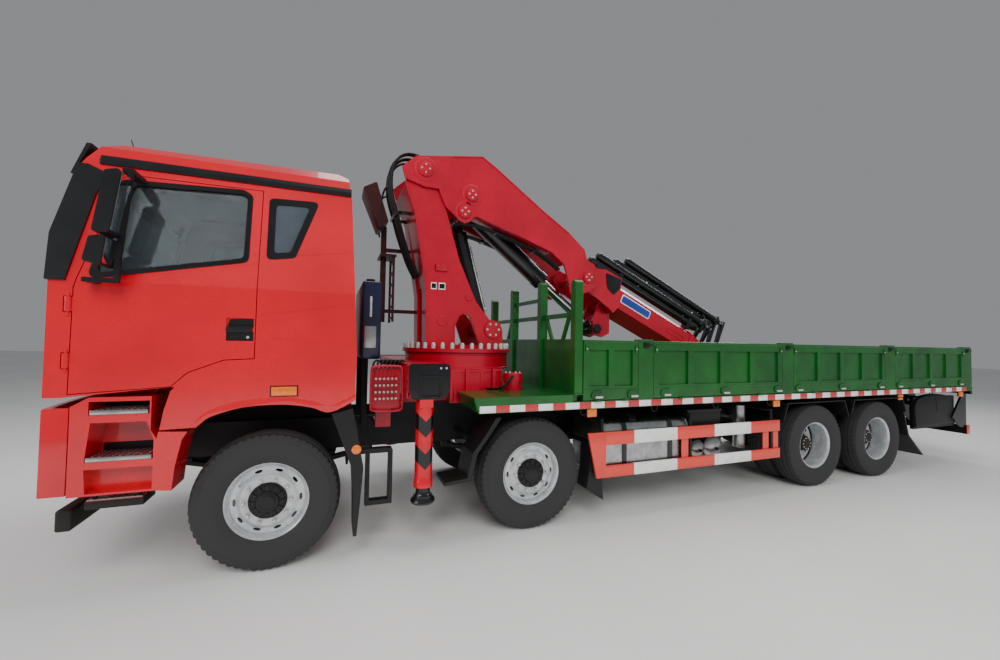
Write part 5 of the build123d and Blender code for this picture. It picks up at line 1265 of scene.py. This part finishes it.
class MakeBooms(bpy.types.Operator):
    """Makes the booms' fittings, the telescoping sections and their rams"""
    bl_idname = "lorry_crane.booms"
    bl_label = "Booms"

    def six_sided(self, radius, along):
        """Corners of the six-sided tube at a distance along the boom."""
        return [boom_point(along, y, up) for y, up in arc((0, 0), radius, 30, 330, 6)]

    def sleeve(self, form, name, radius, start, end, wall):
        """Six-sided tube with a real wall."""
        form.loops(name, [self.six_sided(radius, start), self.six_sided(radius, end),
                          self.six_sided(radius - wall, end), self.six_sided(radius - wall, start)],
                   closed=True, bevel=min(0.003, wall / 3))

    def square_plate(self, form, name, points, start, end, bevel=0.004):
        """Plate square to the boom from (width, height) points."""
        form.loops(name, [[boom_point(along, y, up) for y, up in points] for along in (start, end)], bevel=bevel)

    def ram(self, form, place, span):
        """Black barrel with a wider gland and a rounded base."""
        start, end = (boom_point(along, *place) for along in span)
        reach = span[1] - span[0]
        form.turned("cylinder_enamel", start, Vector(end) - Vector(start),
                    [(0.0, 0.0), (0.0, 0.034), (0.012, 0.048), (0.030, 0.0535), (reach - 0.110, 0.0535),
                     (reach - 0.106, 0.060), (reach - 0.030, 0.060), (reach - 0.026, 0.050), (reach - 0.002, 0.048),
                     (reach - 0.002, 0.0262)], 32)
        for along in (0.42, 0.86):
            port = boom_point(span[0] + reach * along, place[0], place[1] + 0.050)
            tip = boom_point(span[0] + reach * along, place[0], place[1] + 0.074)
            form.rod("zinc_plate", port, tip, 0.013, 10, 0.002)

    def inner(self, sizes):
        """Bosses, weld seams, hoses, pin covers and lifting eye of the inner boom."""
        form = Form()
        for s in SIDES.values():
            for (x, z), radius, lift in ((LIFT_EYE, 0.075, 0.025), (FOLD_FOOT, 0.075, 0.025),
                                         (KNUCKLE_PIN, 0.075, 0.025), (COLUMN_PIN, 0.085, 0.020)):
                form.turned("crane_enamel", (x, s * (BOOM_CHEEK + lift - 0.001), z), (0, s, 0),
                            [(0.0, radius - 0.012), (0.006, radius - 0.012), (0.010, radius - 0.020), (0.010, 0.0)],
                            32)
                form.ring("zinc_plate", hexagon_bolt("zinc_plate", 0.009, 0.008), 4, radius * 0.5,
                          facing_out((x, s * (BOOM_CHEEK + lift + 0.009), z), s))
                form.turned("crane_enamel", (x, s * BOOM_CHEEK, z), (0, s, 0),
                            [(0.0, radius + 0.045), (0.004, radius + 0.045), (0.007, radius + 0.040),
                             (0.007, radius - 0.004), (0.0, radius - 0.004), (0.0, radius + 0.045)], 40)
            spine = [(1.640, 3.888), (1.981, 3.943), (2.171, 3.827), (2.773, 3.413), (3.129, 3.189), (3.121, 3.177),
                     (2.766, 3.401), (2.164, 3.815), (1.978, 3.929), (1.642, 3.874)]
            belly = [(1.920, 3.243), (2.442, 3.083), (2.884, 2.928), (3.063, 2.788), (3.070, 2.798), (2.890, 2.941),
                     (2.446, 3.096), (1.924, 3.256)]
            for seam in (spine, belly):
                form.plate("crane_enamel", seam, s * (BOOM_CHEEK - 0.002), s * (BOOM_CHEEK + 0.006), bevel=0)
            for n in range(3):
                y = s * (0.215 + 0.034 * n)
                form.pipe("hose_rubber", [(1.700, y, 3.160), (1.900, y, 3.215), (2.440, y, 3.055), (2.860, y, 2.905),
                                          (3.060, y, 2.750)], sizes.hose_radius)
            for x, z in ((2.200, 3.128), (2.700, 2.965)):
                form.block("cylinder_enamel", (x - 0.02, x + 0.02), (s * 0.195, s * 0.305), (z - 0.025, z + 0.012),
                           bevel=0.004)
        form.pipe("crane_enamel", [(2.195, 0, 3.850), (2.200, 0, 3.925), (2.240, 0, 3.950), (2.275, 0, 3.915),
                                   (2.262, 0, 3.845)], 0.012)
        form.done("inner_boom_fittings", "inner_boom")

    def outer(self):
        """Label plate, slots, collar and head plates of the outer boom."""
        form = Form()
        self.sleeve(form, "crane_enamel", 0.2565, 1.602, 1.658, 0.010)
        for s in SIDES.values():
            side = 0.2078 * s
            for name, half_long, half_tall, lift in (("white_film", 0.262, 0.060, 0.0025),
                                                     ("blue_film", 0.250, 0.048, 0.0040)):
                corners = rounded([(0.555 - half_long, 0.030 - half_tall), (0.555 + half_long, 0.030 - half_tall),
                                   (0.555 + half_long, 0.030 + half_tall), (0.555 - half_long, 0.030 + half_tall)],
                                  0.022)
                form.loops(name, [[boom_point(a, side + s * d, up) for a, up in corners] for d in (-0.001, lift)],
                           bevel=0.0006)
            slot = rounded([(1.16, -0.035), (1.50, -0.035), (1.50, 0.035), (1.16, 0.035)], 0.034, 8)
            inner = rounded([(1.17, -0.025), (1.49, -0.025), (1.49, 0.025), (1.17, 0.025)], 0.025, 8)
            form.loops("crane_enamel", [[boom_point(a, side + s * d, up) for a, up in loop]
                                        for loop, d in ((slot, -0.001), (slot, 0.005), (inner, 0.005),
                                                        (inner, -0.001))], closed=True)
            cap = [(3.735, 2.760), (3.985, 2.690), (3.955, 2.560), (3.860, 2.470), (3.760, 2.560)]
            form.plate("cylinder_enamel", rounded(cap, 0.02), s * 0.300, s * 0.308, bevel=0.003)
            form.turned("cylinder_enamel", (FOLD_EYE[0], s * 0.160, FOLD_EYE[1]), (0, s, 0),
                        [(0.0, 0.062), (0.018, 0.062), (0.024, 0.055), (0.024, 0.0)], 24)
            form.turned("crane_enamel", (KNUCKLE_PIN[0], s * 0.299, KNUCKLE_PIN[1]), (0, s, 0),
                        [(0.0, 0.130), (0.006, 0.130), (0.010, 0.122), (0.010, 0.060), (0.0, 0.060), (0.0, 0.130)],
                        40)
        form.rod("cylinder_enamel", (3.700, -0.090, 2.812), (3.700, -0.200, 2.812), 0.060, 6, 0.008)
        form.done("outer_boom_fittings", "outer_boom")
        ram = Form()
        place = RAM_PLACES[0]
        self.ram(ram, place, RAM_SPANS[0])
        for start in (0.150, 1.500):
            y, up = place
            foot = [(y - 0.060, 0.180), (y + 0.060, 0.205), (y + 0.058, up + 0.062), (y - 0.058, up + 0.062)]
            self.square_plate(ram, "cylinder_enamel", foot, start, start + 0.060)
        ram.done("extension_ram_1", "outer_boom", ("extension_ram",))

    def sections(self):
        """Each section as a red tube with a collar, a black bracket, a chromed rod and the next barrel."""
        for number in range(1, 5):
            radius = 0.240 - 0.020 * number
            start = BRACKETS[number - 1]
            y, up = RAM_PLACES[number - 1]
            form = Form()
            self.sleeve(form, "crane_enamel", radius, 0.090 + 0.010 * number, start + 0.040, 0.009)
            self.sleeve(form, "crane_enamel", radius + 0.012, start, start + 0.040, 0.020)
            form.rod("hard_chrome", boom_point(RAM_SPANS[number - 1][0] + 0.090, y, up),
                     boom_point(start + 0.030, y, up), 0.026, 24)
            low = radius - 0.060
            head = [(y - 0.045, up + 0.052), (y + 0.045, up + 0.052), (min(y + 0.060, 0.100), low),
                    (max(y - 0.060, -0.100), low)]
            self.square_plate(form, "cylinder_enamel", head, start, start + 0.040)
            bolt = boom_point(start + 0.040, y, up)
            tip = boom_point(start + 0.062, y, up)
            form.rod("zinc_plate", bolt, tip, 0.030, 6, 0.003)
            if number < 4:
                next_y, next_up = RAM_PLACES[number]
                self.square_plate(form, "cylinder_enamel",
                                  [(min(y, next_y) - 0.045, up - 0.030), (max(y, next_y) + 0.045, up - 0.030),
                                   (next_y + 0.058, next_up + 0.062), (next_y - 0.058, next_up + 0.062)],
                                  start, start + 0.040)
                self.ram(form, (next_y, next_up), RAM_SPANS[number])
            else:
                self.square_plate(form, "cylinder_enamel", [(-0.060, 0.020 - radius), (0.060, 0.020 - radius),
                                                            (0.060, radius - 0.020), (-0.060, radius - 0.020)],
                                  start, start + 0.040)
            form.done(f"boom_section_{number}", f"section_{number}", (f"section_{number}",))

    def cylinders(self):
        """Glands, ports and eyes of the lift and fold cylinders."""
        for name, start, end, radius, length, rod in (("lift", LIFT_FOOT, LIFT_EYE, 0.090, 1.200, 0.055),
                                                      ("fold", FOLD_FOOT, FOLD_EYE, 0.110, 1.380, 0.060)):
            base, tip = Vector((start[0], 0, start[1])), Vector((end[0], 0, end[1]))
            along = (tip - base).normalized()
            barrel = Form()
            barrel.turned("cylinder_enamel", base, along,
                          [(length - 0.090, radius - 0.002), (length - 0.090, radius + 0.008),
                           (length, radius + 0.008), (length + 0.012, radius - 0.006), (length + 0.012, rod + 0.004),
                           (length - 0.010, rod + 0.004), (length - 0.090, radius - 0.002)], 40)
            barrel.turned("cylinder_enamel", base, along,
                          [(0.108, radius * 0.6), (0.108, radius + 0.004), (0.150, radius + 0.006),
                           (0.158, radius - 0.001), (0.108, radius * 0.6)], 40)
            side = along.cross(Vector((0, 1, 0))).normalized()
            if side.z < 0:
                side = -side
            for share in (0.20, 0.88):
                foot = base + along * length * share + side * (radius - 0.004)
                barrel.rod("zinc_plate", foot, foot + side * 0.035, 0.016, 12, 0.002)
            pipe_start = base + along * length * 0.22 + side * (radius + 0.020)
            pipe_end = base + along * length * 0.86 + side * (radius + 0.020)
            barrel.rod("hard_chrome", pipe_start, pipe_end, 0.008, 10, 0.001)
            barrel.done(f"{name}_barrel_fittings", f"{name}_barrel")
            eye = Form()
            eye.turned("cylinder_enamel", tip, (0, 1, 0),
                       [(-0.096, 0.043), (-0.096, 0.064), (-0.090, 0.0695), (0.090, 0.0695), (0.096, 0.064),
                        (0.096, 0.043), (-0.096, 0.043)], 40)
            eye.rod("cylinder_enamel", tip - along * 0.155, tip - along * 0.070, rod + 0.006, 32)
            eye.done(f"{name}_rod_eye", f"{name}_rod")

    def execute(self, context):
        self.inner(context.scene.lorry_crane_sizes)
        self.outer()
        self.sections()
        self.cylinders()
        return {"FINISHED"}


class MakeStage(bpy.types.Operator):
    """Makes the floor, the soft lights and the camera"""
    bl_idname = "lorry_crane.stage"
    bl_label = "Stage"

    def execute(self, context):
        scene = context.scene
        half = scene.lorry_crane_sizes.floor_size / 2
        mesh = bpy.data.meshes.new("studio_floor")
        mesh.from_pydata([(-half, -half, 0), (half, -half, 0), (half, half, 0), (-half, half, 0)], [], [(0, 1, 2, 3)])
        mesh.materials.append(finish("pale_floor"))
        floor = bpy.data.objects.new("studio_floor", mesh)
        scene.collection.objects.link(floor)
        world = bpy.data.worlds.new("studio")
        world.use_nodes = True
        world.node_tree.nodes["Background"].inputs["Color"].default_value = linear("#B9BBBE")
        world.node_tree.nodes["Background"].inputs["Strength"].default_value = 0.55
        scene.world = world
        middle = Vector((0.0, 0.0, 1.6))
        for name, place, size, power in SOFT_LIGHTS:
            lamp = bpy.data.lights.new(name, "AREA")
            lamp.energy = power
            lamp.size = size
            holder = bpy.data.objects.new(name, lamp)
            holder.location = place
            holder.visible_glossy = name not in ("key", "fill")
            holder.rotation_mode = "QUATERNION"
            holder.rotation_quaternion = (middle - Vector(place)).to_track_quat("-Z", "Y")
            scene.collection.objects.link(holder)
        lens = bpy.data.cameras.new("camera")
        lens.lens = FOCAL_LENGTH
        lens.sensor_width = SENSOR_WIDTH
        lens.clip_end = 500.0
        camera = bpy.data.objects.new("camera", lens)
        yaw, pitch, roll = (math.radians(a) for a in CAMERA_TURN)
        ahead = Vector((math.sin(yaw) * math.cos(pitch), math.cos(yaw) * math.cos(pitch), math.sin(pitch)))
        level = Vector((math.cos(yaw), -math.sin(yaw), 0.0))
        above = level.cross(ahead)
        right = level * math.cos(roll) + above * math.sin(roll)
        above = above * math.cos(roll) - level * math.sin(roll)
        turn = Matrix((right, above, -ahead)).transposed().to_4x4()
        camera.matrix_world = Matrix.Translation(CAMERA_PLACE) @ turn
        scene.collection.objects.link(camera)
        scene.camera = camera
        return {"FINISHED"}


class LorryCranePanel(bpy.types.Panel):
    """Sidebar panel with the sizes, the colours and the steps"""
    bl_idname = "VIEW3D_PT_lorry_crane"
    bl_label = "Lorry crane"
    bl_space_type = "VIEW_3D"
    bl_region_type = "UI"
    bl_category = "Lorry crane"

    def draw(self, context):
        for group in (context.scene.lorry_crane_sizes, context.scene.lorry_crane_colours):
            box = self.layout.box()
            for name in group.__annotations__:
                box.prop(group, name)
        for step in STEPS:
            self.layout.operator(step.bl_idname)


STEPS = (MakeFinishes, MakeStage, MakeWheels, MakeCab, MakeChassis, MakeBed, MakeCraneFoot, MakeColumn, MakeBooms)
CLASSES = (LorryCraneSizes, LorryCraneColours, LorryCranePanel) + STEPS


def register():
    """Registers the classes and their property groups."""
    for made in CLASSES:
        bpy.utils.register_class(made)
    bpy.types.Scene.lorry_crane_sizes = bpy.props.PointerProperty(type=LorryCraneSizes)
    bpy.types.Scene.lorry_crane_colours = bpy.props.PointerProperty(type=LorryCraneColours)


def unregister():
    """Takes the classes and their property groups away."""
    del bpy.types.Scene.lorry_crane_sizes
    del bpy.types.Scene.lorry_crane_colours
    for made in reversed(CLASSES):
        bpy.utils.unregister_class(made)


def main():
    """Registers the add-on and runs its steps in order."""
    register()
    for step in STEPS:
        group, name = step.bl_idname.split(".")
        getattr(getattr(bpy.ops, group), name)()
    bpy.context.view_layer.update()


if __name__ == "__main__":
    main()
